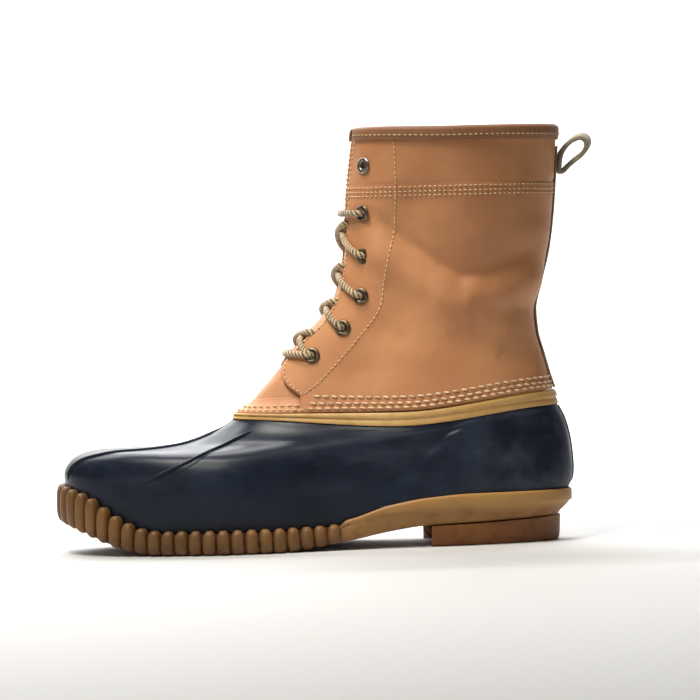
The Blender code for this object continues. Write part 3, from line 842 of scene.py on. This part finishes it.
def punch(shaft):
    """Cuts the twelve eyelet holes through the shaft's wall, and leaves it a plain mesh."""
    bm = bmesh.new()
    for _, _, centre, axis in EYELETS:
        turn = axis.to_track_quat("Z", "Y").to_matrix()
        made = bmesh.ops.create_cone(bm, cap_ends=True, segments=20, radius1=EYELET_HOLE,
                                     radius2=EYELET_HOLE, depth=12.0)["verts"]
        bmesh.ops.rotate(bm, matrix=turn, verts=made)
        bmesh.ops.translate(bm, vec=centre, verts=made)
    bmesh.ops.translate(bm, vec=-MIDDLE, verts=bm.verts)
    bmesh.ops.scale(bm, vec=(MM, MM, MM), verts=bm.verts)
    mesh = bpy.data.meshes.new("punch")
    bm.to_mesh(mesh)
    bm.free()
    cutter = bpy.data.objects.new("punch", mesh)
    bpy.context.scene.collection.objects.link(cutter)
    holes = shaft.modifiers.new("holes", "BOOLEAN")
    holes.operation = "DIFFERENCE"
    holes.solver = "EXACT"
    holes.object = cutter
    bpy.context.view_layer.update()
    cut = bpy.data.meshes.new_from_object(shaft.evaluated_get(bpy.context.evaluated_depsgraph_get()))
    shaft.modifiers.clear()
    shaft.data = cut
    cut.name = "leather_upper"
    bpy.data.objects.remove(cutter, do_unlink=True)


def make_eyelets(dark, bright):
    """Rolled eyelets; the unlaced top pair is the brighter metal."""
    depth = LEATHER_WALL + OVERLAY_STEP + 0.4
    profile = [(EYELET_HOLE - 1.1, -depth), (EYELET_HOLE - GAP, -depth), (EYELET_HOLE - GAP, 0.55),
               (4.55, 0.55), (4.75, 0.8), (4.65, 1.15), (4.2, 1.5), (3.5, 1.65), (2.8, 1.5),
               (2.15, 1.0), (EYELET_HOLE - 1.1, 0.2), (EYELET_HOLE - 1.1, -depth)]
    levels = len(profile) - 1
    made = []
    for side, row, centre, axis in EYELETS:
        turn = axis.to_track_quat("Z", "Y")

        def place(s, t):
            radius, height = profile[int(t * levels + 0.5)]
            a = 2 * math.pi * s
            return centre + turn @ Vector((radius * math.cos(a), radius * math.sin(a), height))

        bm = weld(sheet(place, 32, levels))
        bmesh.ops.recalc_face_normals(bm, faces=bm.faces)
        finish_material = bright if row >= LACED_EYELETS else dark
        name = f"eyelet_{side}_{row + 1}"
        made.append(finish(bm, f"rolled_{name}", finish_material, name))
    return made


def make_tongue(leather):
    def place(s, t):
        v = 7.2 + (TONGUE_TOP - 7.2) * t
        half = facing_angle(max(v, LEATHER_BOTTOM), TONGUE_TUCK)
        share = 2 * s - 1
        u = half * share
        shown = ease((0.55 - abs(share)) / 0.3)
        fold = 0.5 * math.sin(v * 2.3 + 1.0) * shown * ease((v - 9.5) / 2)
        return stand_off(u, v, -RUBBER_WALL - GAP - 0.3 + fold - 0.5 * (1 - ease((TONGUE_TOP - v) / 0.1)))

    tongue = finish(sheet(place, int(64 * FINE), int(150 * FINE)), "leather_tongue", leather, "tongue")
    return solid(tongue, TONGUE_WALL)


def make_tongue_base(leather):
    """The strip that joins the tongue's foot to the band, between the shaft's two front edges."""
    half = facing_angle(LEATHER_BOTTOM + 0.1, 3.0)

    def place(s, t):
        v = LEATHER_BOTTOM + 0.035 + 0.92 * t
        drop = ease(t) * (RUBBER_WALL + GAP + 0.2)
        tucked = 0.8 * ease((abs(2 * s - 1) - 0.86) / 0.1)
        return stand_off(half * (2 * s - 1), v, 0.35 - drop - tucked + 0.25 * soft(t - 0.12, 0.1))

    base = finish(sheet(place, int(90 * FINE), 24), "tongue_base", leather, "tongue")
    return solid(base, 1.4)


def make_collar_binding(leather):
    """The strip folded over the collar, rounded on top and open below."""
    outside, inside = OVERLAY_STEP + GAP, -LEATHER_WALL - GAP
    skirt = COLLAR - 0.26
    middle, reach = (outside + inside) / 2, (outside - inside) / 2
    arc = [(middle + (reach + 1.3) * math.cos(a), 2.6 * math.sin(a) - 0.2)
           for a in (math.pi * i / 10 for i in range(11))]
    profile = [("skirt", outside, 0.0), ("skirt", outside + 1.0, 0.0), ("skirt", outside + 1.25, 0.9),
               ("half", outside + 1.35, 0.0)]
    profile += [("top", out, rise) for out, rise in arc]
    profile += [("half", inside - 1.3, 0.0), ("skirt", inside - 1.2, 0.0), ("skirt", inside, 0.0),
                ("top", inside, 0.3), ("top", outside, 0.3), ("skirt", outside, 0.0)]
    levels = len(profile) - 1
    heights = {"skirt": skirt, "half": COLLAR - 0.12, "top": COLLAR}
    start = edge_angle(COLLAR) + 0.012

    def place(s, t):
        u = start + (2 * math.pi - 2 * start) * s
        line, out, rise = profile[int(t * levels + 0.5)]
        return stand_off(u, heights[line], out) + Vector((0, 0, rise))

    bm = weld(sheet(place, int(200 * FINE), levels))
    bmesh.ops.holes_fill(bm, edges=[e for e in bm.edges if e.is_boundary], sides=0)
    bmesh.ops.triangulate(bm, faces=[f for f in bm.faces if len(f.verts) > 4])
    bmesh.ops.recalc_face_normals(bm, faces=bm.faces)
    return finish(bm, "rolled_collar_binding", leather, "collar_binding", 50.0)


def make_backstay(tape):
    base = OVERLAY_STEP + GAP

    def place(s, t):
        u = math.pi + BACKSTAY_HALF_ANGLE * (2 * s - 1)
        v = LEATHER_BOTTOM + 0.06 + (COLLAR - 0.42 - LEATHER_BOTTOM - 0.06) * t
        crown = 1.0 - 0.5 * abs(2 * s - 1) ** 4
        return stand_off(u, v, base + BACKSTAY_HEIGHT * crown)

    stay = finish(sheet(place, 20, int(160 * FINE)), "woven_backstay", tape, "backstay")
    return solid(stay, BACKSTAY_HEIGHT * 0.6)


def make_pull_loop(webbing):
    """The webbing loop behind the collar, as one closed band with soft edges."""
    stay = OVERLAY_STEP + GAP + BACKSTAY_HEIGHT
    line = []
    for p in LOOP_LINE:
        v = hermite([r.z_back for r in RINGS], list(range(len(RINGS))), p.z)
        line.append((skin(math.pi, v).x + stay + p.out, p.z))
    closed = smooth_closed(line, 72)
    centre = Vector((sum(x for x, _ in closed) / len(closed), 0.0, sum(z for _, z in closed) / len(closed)))
    upper = [(-8.0, 0.0), (-7.7, 0.75), (-6.8, 0.95), (0.0, 1.0), (6.8, 0.95), (7.7, 0.75), (8.0, 0.0)]
    section = upper + [(across, -thick) for across, thick in reversed(upper[:-1])]
    count = len(closed)
    closed_root = min(x for x, _ in closed)

    def place(s, t):
        i = int(t * count + 0.5) % count
        x, z = closed[i]
        before, after = closed[i - 1], closed[(i + 1) % count]
        ahead = Vector((after[0] - before[0], 0.0, after[1] - before[1])).normalized()
        out = Vector((ahead.z, 0.0, -ahead.x))
        point = Vector((x, 0.0, z))
        free = ease((x - closed_root) / 10.0)
        if out.dot(point - centre) < 0:
            out = -out
        across, thick = section[int(s * (len(section) - 1) + 0.5)]
        return point + out * thick * 1.4 + Vector((0.24 * free * across, across, 0.16 * free * across))

    bm = weld(sheet(place, len(section) - 1, count))
    bmesh.ops.recalc_face_normals(bm, faces=bm.faces)
    return finish(bm, "webbing_pull_loop", webbing, "pull_loop", 60.0)


def smooth_closed(points, count):
    """A closed smooth line through (x, z) points, by quarter-point blending."""
    for _ in range(3):
        points = [p for a, b in zip(points, points[1:] + points[:1])
                  for p in (tuple(0.75 * m + 0.25 * n for m, n in zip(a, b)),
                            tuple(0.25 * m + 0.75 * n for m, n in zip(a, b)))]
    step = len(points) / count
    return [points[int(i * step)] for i in range(count)]


# Laces and stitching

def lace_line(start_row, end_row, lift, sign):
    """One run: up through an eyelet, forward over the edge, across, and down under the other eyestay."""
    start = level(EYELET_HEIGHTS[start_row], EYELET_FROM_EDGE)
    end = level(EYELET_HEIGHTS[end_row], EYELET_FROM_EDGE)
    rise = end - start
    under = -LEATHER_WALL - 0.4
    path = [(0.0, 16.0, -3.6), (0.0, 15.8, 0.2), (0.03, 13.6, 2.9), (0.14, 9.0, 2.5), (0.3, 4.0, 2.2),
            (0.44, -0.4, 1.6)]
    points = []
    for share, past_edge, clear in path:
        v = start + rise * share
        lifted = lift if past_edge < 12.0 else 0.0
        points.append(edge_place(v, past_edge, OVERLAY_STEP + clear + lifted))
    far = []
    for share, past_edge, clear in [(0.76, -1.0, 1.0), (0.82, 1.6, under), (0.88, 5.0, under - 0.9)]:
        v = start + rise * share
        point = edge_place(v, past_edge, clear + (lift if past_edge < 0 else 0.0))
        point.y = -point.y
        far.append(point)
    centre = (points[-1] + far[0]) / 2
    bulge = Vector((-0.3 - 0.8 * lift, 0.0, 0.2))
    points += [points[-1].lerp(centre, 0.55) + bulge * 0.7, centre + bulge,
               centre.lerp(far[0], 0.55) + bulge * 0.6]
    points += far
    for point in points:
        point.y *= sign
    return points


def edge_place(v, past_edge, clear):
    """A place near the outer eyestay's front edge: a distance behind it, and off the leather."""
    if past_edge >= 0:
        return stand_off(facing_angle(v, past_edge), v, clear)
    u = edge_angle(v)
    return stand_off(u * (1 + past_edge * 0.02), v, clear)


def smooth_path(points, count):
    return [Vector(p) for p in smooth_line([tuple(p) for p in points], count)]


def rounded(points, passes=2):
    """The same path with its corners cut back."""
    for _ in range(passes):
        inner = [p for a, b in zip(points, points[1:]) for p in (a.lerp(b, 0.25), a.lerp(b, 0.75))]
        points = [points[0]] + inner + [points[-1]]
    return points


def make_laces(cord):
    bm = bmesh.new()
    runs = []
    for row in range(LACED_EYELETS - 1):
        for sign in (1, -1):
            runs.append(lace_line(row, row + 1, 0.0 if sign > 0 else 1.5, sign))
    for row, lift in ((0, 0.0), (LACED_EYELETS - 1, 0.8)):
        half = lace_line(row, row, lift, 1)[:8]
        middle = half[-1].copy()
        middle.y = 0.0
        middle.x -= 0.6
        other = [Vector((p.x, -p.y, p.z)) for p in reversed(half)]
        runs.append(half + [middle] + other)
    for points in runs:
        path = smooth_path(rounded(points), 64)
        tube_points(path, LACE_RADIUS, 14, bm)
    return finish(weld(bm), "speckled_laces", cord, "lace", 80.0)


def make_stitching(thread):
    """Every stitch row, in one mesh: lower edge, cuff, eyestay, binding and tongue."""
    bm = bmesh.new()
    for rise in ROW_HEIGHTS:
        places = []
        for i in range(161):
            s = i / 160
            start = facing_angle(LEATHER_BOTTOM + 0.1, 2.6)
            u = start + (2 * math.pi - 2 * start) * s
            places.append((u, next_ring(u, LEATHER_BOTTOM, rise)))
        stitch_row(bm, places, 5.0, 4.7, 1.5, 0.1, 0.4, shaft_place)
    for z in CUFF_ROW_Z:
        places = []
        for i in range(121):
            s = i / 120
            start = facing_angle(15.4, 1.8)
            u = start + (2 * math.pi - 2 * start) * s
            places.append((u, at_height(u, z)))
        stitch_row(bm, places, 2.9, 2.2, 0.85, 0.15, 0.08, shaft_place)
    back = outer_line([(49, 236), (49, 200), (42, 153), (39, 137.5), (31, 126), (20, 113), (9.5, 102),
                       (3, 95.4), (-3, 91), (-5.5, 89)])
    front = [(facing_angle(v, 2.3), v) for v in (8.95 + 7.75 * i / 60 for i in range(61))]
    back = [tuple(p) for p in smooth_line(back, 61)]
    for line in (front, back):
        mirrored = [(2 * math.pi - u, v) for u, v in reversed(line)]
        for one in (line, mirrored):
            stitch_row(bm, one, 2.9, 2.2, 0.85, 0.15, surface=shaft_place)
    binding = []
    for i in range(121):
        start = edge_angle(COLLAR) + 0.03
        binding.append((start + (2 * math.pi - 2 * start) * i / 120, COLLAR - 0.13))
    stitch_row(bm, binding, 3.1, 2.4, 0.8, OVERLAY_STEP + GAP + 1.45)
    half = facing_angle(LEATHER_BOTTOM, 2.0)
    for rise in (2.6, 5.6):
        places = [(half * (i / 20 - 1), 8.0 + rise / 11.0) for i in range(41)]
        stitch_row(bm, places, 4.2, 3.4, 1.1, 0.35 - 2.9 * ease((rise / 11.0 - 0.035) / 0.92) + 0.3, 0.2)
    return finish(bm, "cream_stitching", thread, "leather_shaft", 80.0)


# Materials

class Socket:
    """A value in a material, so that sums on it are written as plain expressions."""

    def __init__(self, paint, link):
        self.paint, self.link = paint, link

    def maths(self, operation, a, b=None, clamp=False):
        inputs = {0: a} if b is None else {0: a, 1: b}
        return self.paint.node("ShaderNodeMath", {"operation": operation, "use_clamp": clamp}, inputs)

    def __add__(self, other):
        return self.maths("ADD", self, other)

    def __sub__(self, other):
        return self.maths("SUBTRACT", self, other)

    def __mul__(self, other):
        return self.maths("MULTIPLY", self, other)

    def __rsub__(self, other):
        return self.maths("SUBTRACT", other, self)

    __radd__ = __add__
    __rmul__ = __mul__

    def held(self):
        return self.maths("ADD", self, 0.0, True)

    def step(self, low, high):
        """0 below low, 1 above high, and smooth between; turned round when high is the smaller."""
        if low > high:
            return 1 - self.step(high, low)
        return self.paint.node("ShaderNodeMapRange", {"interpolation_type": "SMOOTHSTEP"},
                               {"Value": self, "From Min": low, "From Max": high})

    def near(self, centre, reach):
        return 1 - self.maths("ABSOLUTE", self - centre).step(0.0, reach)


class Paint:
    """One material and its nodes."""

    def __init__(self, name):
        self.material = bpy.data.materials.new(name)
        self.material.use_nodes = True
        self.tree = self.material.node_tree
        self.tree.nodes.clear()

    def node(self, kind, settings=None, inputs=None, output=0):
        made = self.tree.nodes.new(kind)
        for key, value in (settings or {}).items():
            setattr(made, key, value)
        for key, value in (inputs or {}).items():
            if isinstance(value, Socket):
                self.tree.links.new(value.link, made.inputs[key])
            else:
                made.inputs[key].default_value = value
        return Socket(self, made.outputs[output])

    def place(self):
        return self.node("ShaderNodeTexCoord", output="Object")

    def uv(self):
        return self.node("ShaderNodeTexCoord", output="UV")

    def axes(self, vector):
        return [self.node("ShaderNodeSeparateXYZ", {}, {0: vector}, k) for k in range(3)]

    def noise(self, scale, detail=3.0, rough=0.55, vector=None, distortion=0.0):
        return self.node("ShaderNodeTexNoise", {}, {"Vector": vector or self.place(), "Scale": scale,
                                                    "Detail": detail, "Roughness": rough,
                                                    "Distortion": distortion})

    def cells(self, scale, feature="F1", vector=None):
        return self.node("ShaderNodeTexVoronoi", {"feature": feature},
                         {"Vector": vector or self.place(), "Scale": scale})

    def stretched(self, scale):
        return self.node("ShaderNodeMapping", {}, {"Vector": self.place(), "Scale": scale})

    def mix(self, share, first, second):
        colour = [(*c, 1.0) if isinstance(c, tuple) else c for c in (first, second)]
        return self.node("ShaderNodeMix", {"data_type": "RGBA"}, {0: share, 6: colour[0], 7: colour[1]}, 2)

    def bump(self, height, distance, strength=1.0, under=None):
        inputs = {"Height": height, "Distance": distance, "Strength": strength}
        if under:
            inputs["Normal"] = under
        return self.node("ShaderNodeBump", {}, inputs)

    def surface(self, colour, roughness, bump=None, **fixed):
        if isinstance(colour, tuple):
            colour = (*colour, 1.0)
        inputs = {"Base Color": colour, "Roughness": roughness}
        if bump:
            inputs["Normal"] = bump
        inputs.update({key.replace("_", " "): value for key, value in fixed.items()})
        shader = self.node("ShaderNodeBsdfPrincipled", {}, inputs)
        self.node_out(shader)
        return self.material

    def node_out(self, shader):
        out = self.tree.nodes.new("ShaderNodeOutputMaterial")
        self.tree.links.new(shader.link, out.inputs["Surface"])


def tan_leather(name="tan_leather", tone=1.0):
    """Caramel leather: broad mottling, rubbed folds, a fine pebble and soft scuffs."""
    p = Paint(name)
    broad = p.noise(18.0, 3.0)
    blotch = p.noise(60.0, 4.0, 0.6)
    fine = p.noise(900.0, 2.0)
    deep, rubbed = shade((0.45, 0.19, 0.074), tone), shade((0.56, 0.255, 0.107), tone)
    colour = p.mix(broad.step(0.35, 0.7), deep, rubbed)
    colour = p.mix(blotch.step(0.52, 0.75) * 0.35, colour, shade((0.43, 0.19, 0.085), tone))
    colour = p.mix(fine.step(0.5, 0.8) * 0.18, colour, shade((0.38, 0.17, 0.08), tone))
    x, _, z = p.axes(p.place())
    lower = z.step(0.112, 0.082) * blotch.step(0.38, 0.62)
    colour = p.mix(lower * 0.35, colour, shade((0.42, 0.18, 0.09), tone))
    rear = x.step(0.106, 0.128) * z.step(0.13, 0.10)
    colour = p.mix(rear * 0.25, colour, shade((0.40, 0.17, 0.07), tone))
    roughness = 0.47 + 0.16 * blotch + 0.08 * fine
    pebble = p.cells(720.0, "DISTANCE_TO_EDGE").step(0.0, 0.14)
    wrinkle = p.noise(140.0, 4.0, 0.6, distortion=0.6)
    bump = p.bump(pebble, 0.00012, 0.35)
    bump = p.bump(wrinkle, 0.0009, 0.22, bump)
    return p.surface(colour, roughness, bump, Specular_IOR_Level=0.42, Coat_Weight=0.06, Coat_Roughness=0.35)


def shade(colour, tone):
    return tuple(c * tone for c in colour)


def navy_rubber():
    """Moulded navy rubber with a dusty haze at the rear quarter and along the sides."""
    p = Paint("navy_rubber")
    x, _, z = p.axes(p.place())
    cloud = p.noise(22.0, 4.0, 0.6)
    wipe = p.noise(1.0, 4.0, 0.6, p.stretched((18.0, 30.0, 60.0)))
    speck = p.noise(1400.0, 2.0)
    side = z.near(0.052, 0.03) * wipe.step(0.45, 0.75)
    rear = x.step(0.05, 0.12) * cloud.step(0.4, 0.7)
    haze = (side * 0.45 + rear * 1.0).held()
    colour = p.mix(cloud.step(0.3, 0.7), (0.0075, 0.0105, 0.019), (0.0125, 0.018, 0.033))
    colour = p.mix(haze, colour, (0.042, 0.055, 0.082))
    colour = p.mix(speck.step(0.66, 0.8) * 0.12, colour, (0.12, 0.13, 0.14))
    roughness = 0.24 + 0.22 * haze + 0.10 * cloud + 0.05 * speck
    bump = p.bump(p.noise(700.0, 3.0), 0.0001, 0.25)
    bump = p.bump(p.noise(35.0, 2.0), 0.0014, 0.16, bump)
    return p.surface(colour, roughness, bump, Specular_IOR_Level=0.17)


GUM_STRIP = (0.50, 0.285, 0.085)


def gum(name, light, dark, grime, painted_shade_between_ribs=0.0):
    """Gum rubber: translucent amber with grime low down, and painted shade on the sole's forefoot where it
    shows between the ribs.
    """
    p = Paint(name)
    x, _, z = p.axes(p.place())
    cloud = p.noise(30.0, 4.0, 0.6)
    blot = p.noise(130.0, 4.0, 0.65)
    low = z.step(0.016, 0.001)
    colour = p.mix(cloud.step(0.3, 0.72), dark, light)
    colour = p.mix((blot.step(0.5, 0.72) * 0.4 + low * 0.35).held(), colour, grime)
    # Painted shade: the sole's forefoot, seen in the gaps between the ribs, is darkened to the grime colour.
    colour = p.mix(x.step(0.010, 0.001) * painted_shade_between_ribs, colour, grime)
    colour = p.mix(x.step(0.015, 0.085) * z.step(0.018, 0.024) * 0.55, colour, GUM_STRIP)
    roughness = 0.42 + 0.2 * blot
    bump = p.bump(p.noise(420.0, 3.0), 0.0002, 0.3)
    bump = p.bump(p.noise(70.0, 3.0), 0.0008, 0.2, bump)
    return p.surface(colour, roughness, bump, Specular_IOR_Level=0.45, Subsurface_Weight=0.06,
                     Subsurface_Scale=0.004)


def woven(name, light, dark, across, along, share=0.5, relief=0.7):
    """A weave that follows the piece's own UV map: light yarns with dark flecks."""
    p = Paint(name)
    u, v, _ = p.axes(p.uv())
    warp = u * across * math.tau
    weft = v * along * math.tau
    wave = warp.maths("SINE", warp)
    cross = weft.maths("SINE", weft)
    diagonal = warp.maths("SINE", warp + weft)
    weave = wave * cross
    fleck = p.noise(260.0, 2.0)
    mask = (diagonal.step(0.1, 0.6) * share + fleck.step(0.55, 0.65) * 0.3).held()
    colour = p.mix(mask, light, dark)
    colour = p.mix(p.noise(60.0, 3.0).step(0.45, 0.75) * 0.3, colour, shade(dark, 1.6))
    bump = p.bump(weave, 0.0004, relief)
    return p.surface(colour, 0.82, bump, Sheen_Weight=0.15, Sheen_Roughness=0.5)


def cream_thread():
    p = Paint("cream_thread")
    grime = p.noise(160.0, 3.0)
    colour = p.mix(grime.step(0.45, 0.75), (0.72, 0.53, 0.31), (0.50, 0.33, 0.17))
    return p.surface(colour, 0.72, p.bump(p.noise(2500.0), 0.0001, 0.5), Sheen_Weight=0.1)


def eyelet_metal(name, colour, worn):
    p = Paint(name)
    wear = p.noise(500.0, 3.0)
    return p.surface(p.mix(wear.step(0.45, 0.75), colour, worn), 0.28 + 0.2 * wear,
                     p.bump(p.noise(900.0), 0.0001, 0.25), Metallic=1.0)


def cloth(name, colour):
    p = Paint(name)
    fibre = p.noise(900.0, 3.0)
    shade_noise = p.noise(40.0, 3.0)
    dark = shade(colour, 0.7)
    return p.surface(p.mix(shade_noise.step(0.3, 0.7), dark, colour), 0.9,
                     p.bump(fibre, 0.0004, 0.5), Sheen_Weight=0.2)


def floor_paint():
    p = Paint("pale_floor")
    return p.surface((0.64, 0.64, 0.635), 0.75)


# Camera, light and floor

def look(place, target, roll=0.0):
    turn = (target - place).to_track_quat("-Z", "Y").to_matrix().to_4x4()
    turn = turn @ Matrix.Rotation(math.radians(roll), 4, "Z")
    return Matrix.Translation(place) @ turn


AZIMUTH, ELEVATION, ROLL = -3.0, 1.6, -1.6
CAMERA_DISTANCE = 2.4
CAMERA_LENS = 212.9
CAMERA_TARGET = Vector((0.0145, 0.0, 0.113))


def make_camera():
    a, e = math.radians(AZIMUTH), math.radians(ELEVATION)
    away = Vector((math.sin(a) * math.cos(e), -math.cos(a) * math.cos(e), math.sin(e)))
    data = bpy.data.cameras.new("photo_camera")
    data.lens = CAMERA_LENS
    data.sensor_width = 36.0
    data.clip_start = 0.05
    camera = bpy.data.objects.new("photo_camera", data)
    camera.matrix_world = look(CAMERA_TARGET + away * CAMERA_DISTANCE, CAMERA_TARGET, ROLL)
    bpy.context.scene.collection.objects.link(camera)
    bpy.context.scene.camera = camera


def soft_light(name, place, target, size, power, colour):
    data = bpy.data.lights.new(name, "AREA")
    data.shape = "RECTANGLE"
    data.size, data.size_y = size
    data.energy = power
    data.color = colour
    light = bpy.data.objects.new(name, data)
    light.matrix_world = look(Vector(place), Vector(target))
    bpy.context.scene.collection.objects.link(light)


UPRIGHT = Matrix.Rotation(math.radians(90.0), 4, "X")


def make_floor():
    bm = bmesh.new()
    bmesh.ops.create_grid(bm, x_segments=1, y_segments=1, size=6.0)
    mesh = bpy.data.meshes.new("floor")
    bm.to_mesh(mesh)
    bm.free()
    mesh.materials.append(floor_paint())
    for name, place in (("floor", Matrix()), ("backdrop", Matrix.Translation((0.0, 3.0, 0.0)) @ UPRIGHT)):
        plane = bpy.data.objects.new(name, mesh)
        plane.matrix_world = place
        bpy.context.scene.collection.objects.link(plane)
        plane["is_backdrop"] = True


# Soft lights: name, place, target, size, watts and colour, with lengths in metres
WHITE = (1.0, 1.0, 1.0)
BOOT_LIGHTS = [
    ("key", (-0.40, -0.33, 1.38), (0.0, 0.0, 0.10), (0.36, 0.30), 16.5, (1.0, 0.96, 0.88)),
    ("front", (-0.9, -1.0, 0.55), (0.0, 0.0, 0.10), (0.7, 0.6), 0.6, (1.0, 0.98, 0.95)),
    ("back", (-0.40, 0.85, 0.75), (-0.06, 0.0, 0.06), (0.9, 0.5), 6.5, WHITE),
]
BACKDROP_LIGHT = ("backdrop_light", (0.0, 1.3, 2.3), (0.0, 3.0, 0.6), (3.0, 0.8), 230.0, WHITE)

# The spot on the boot's lower half, with its cone in degrees
SPOT_PLACE = Vector((-0.42, -0.78, 1.12))
SPOT_TARGET = Vector((0.02, -0.03, 0.065))
SPOT_WATTS = 46.0
SPOT_CONE = 11.5
SPOT_COLOUR = (1.0, 0.965, 0.9)
WORLD_STRENGTH = 0.06


def make_light():
    world = bpy.data.worlds.new("studio")
    world.use_nodes = True
    bpy.context.scene.world = world
    world.node_tree.nodes["Background"].inputs["Color"].default_value = (1.0, 0.99, 0.97, 1.0)
    world.node_tree.nodes["Background"].inputs["Strength"].default_value = WORLD_STRENGTH
    for light in BOOT_LIGHTS:
        soft_light(*light)
    spot = bpy.data.lights.new("lower_half", "SPOT")
    spot.energy = SPOT_WATTS
    spot.color = SPOT_COLOUR
    spot.spot_size = math.radians(SPOT_CONE)
    spot.spot_blend = 0.75
    spot.shadow_soft_size = 0.06
    lamp = bpy.data.objects.new("lower_half", spot)
    lamp.matrix_world = look(SPOT_PLACE, SPOT_TARGET)
    bpy.context.scene.collection.objects.link(lamp)
    soft_light(*BACKDROP_LIGHT)
    bpy.context.scene.view_settings.view_transform = "Standard"


def main():
    rubber = navy_rubber()
    # The last number is the strength of the painted shade between the ribs.
    gum_sole = gum("gum_sole", (0.33, 0.165, 0.045), (0.24, 0.108, 0.028), (0.085, 0.036, 0.012), 0.85)
    gum_heel = gum("gum_heel", (0.25, 0.085, 0.011), (0.175, 0.055, 0.007), (0.08, 0.026, 0.005))
    gum_ribs = gum("gum_ribs", (0.235, 0.112, 0.029), (0.16, 0.072, 0.018), (0.07, 0.03, 0.008))
    gum_band = gum("gum_band", (0.60, 0.37, 0.13), (0.50, 0.285, 0.09), (0.30, 0.15, 0.05))
    leather = tan_leather()
    # Painted shade: the binding is a darker copy of the tan leather, standing in for the shadow over the
    # collar.
    binding = tan_leather("binding_leather_painted_shade", 0.55)
    tongue = tan_leather("tongue_leather", 0.95)
    tape = woven("backstay_tape", (0.40, 0.29, 0.17), (0.10, 0.055, 0.028), 4.0, 120.0, 0.75, 0.35)
    webbing = woven("loop_webbing", (0.46, 0.39, 0.28), (0.14, 0.10, 0.06), 14.0, 26.0, 0.45)
    cord = woven("speckled_cord", (0.56, 0.42, 0.25), (0.035, 0.02, 0.012), 3.0, 30.0, 0.85, 0.3)
    dark_metal = eyelet_metal("dark_eyelet", (0.10, 0.075, 0.05), (0.34, 0.25, 0.15))
    bright_metal = eyelet_metal("bright_eyelet", (0.20, 0.17, 0.14), (0.52, 0.50, 0.46))
    made = [
        ("dark_rubber", [make_rubber_shell(rubber), make_vamp_lines(rubber), make_heel_seam(rubber)]),
        ("gum_rubber", [make_gum_sole(gum_sole), make_ribs(gum_ribs), make_heel_block(gum_heel),
                        make_top_band(gum_band)]),
        ("tan_leather", [make_leather_shaft(leather), make_tongue(tongue), make_tongue_base(leather),
                         make_collar_binding(binding)]),
        ("webbing", [make_backstay(tape), make_pull_loop(webbing)]),
        ("lace_cord", [make_laces(cord), make_stitching(cream_thread())]),
        ("antique_metal", make_eyelets(dark_metal, bright_metal)),
    ]
    for slot, pieces in made:
        for piece in pieces:
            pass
    insole = bpy.data.objects["insole"]
    insole.data.materials.clear()
    insole.data.materials.append(cloth("insole_felt", (0.30, 0.22, 0.14)))
    make_floor()
    make_camera()
    make_light()


def keep_size(before):
    """Builds the size before and after the pieces are dressed as plain lists of numbers, and keeps nothing.
    """
    def plain(value):
        if isinstance(value, dict):
            return [plain(v) for v in value.values()]
        try:
            return [plain(v) for v in value]
        except TypeError:
            return float(value)

    {"solids": plain(before), "dressed": plain(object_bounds())}


main()
keep_size(CAD_BOX)
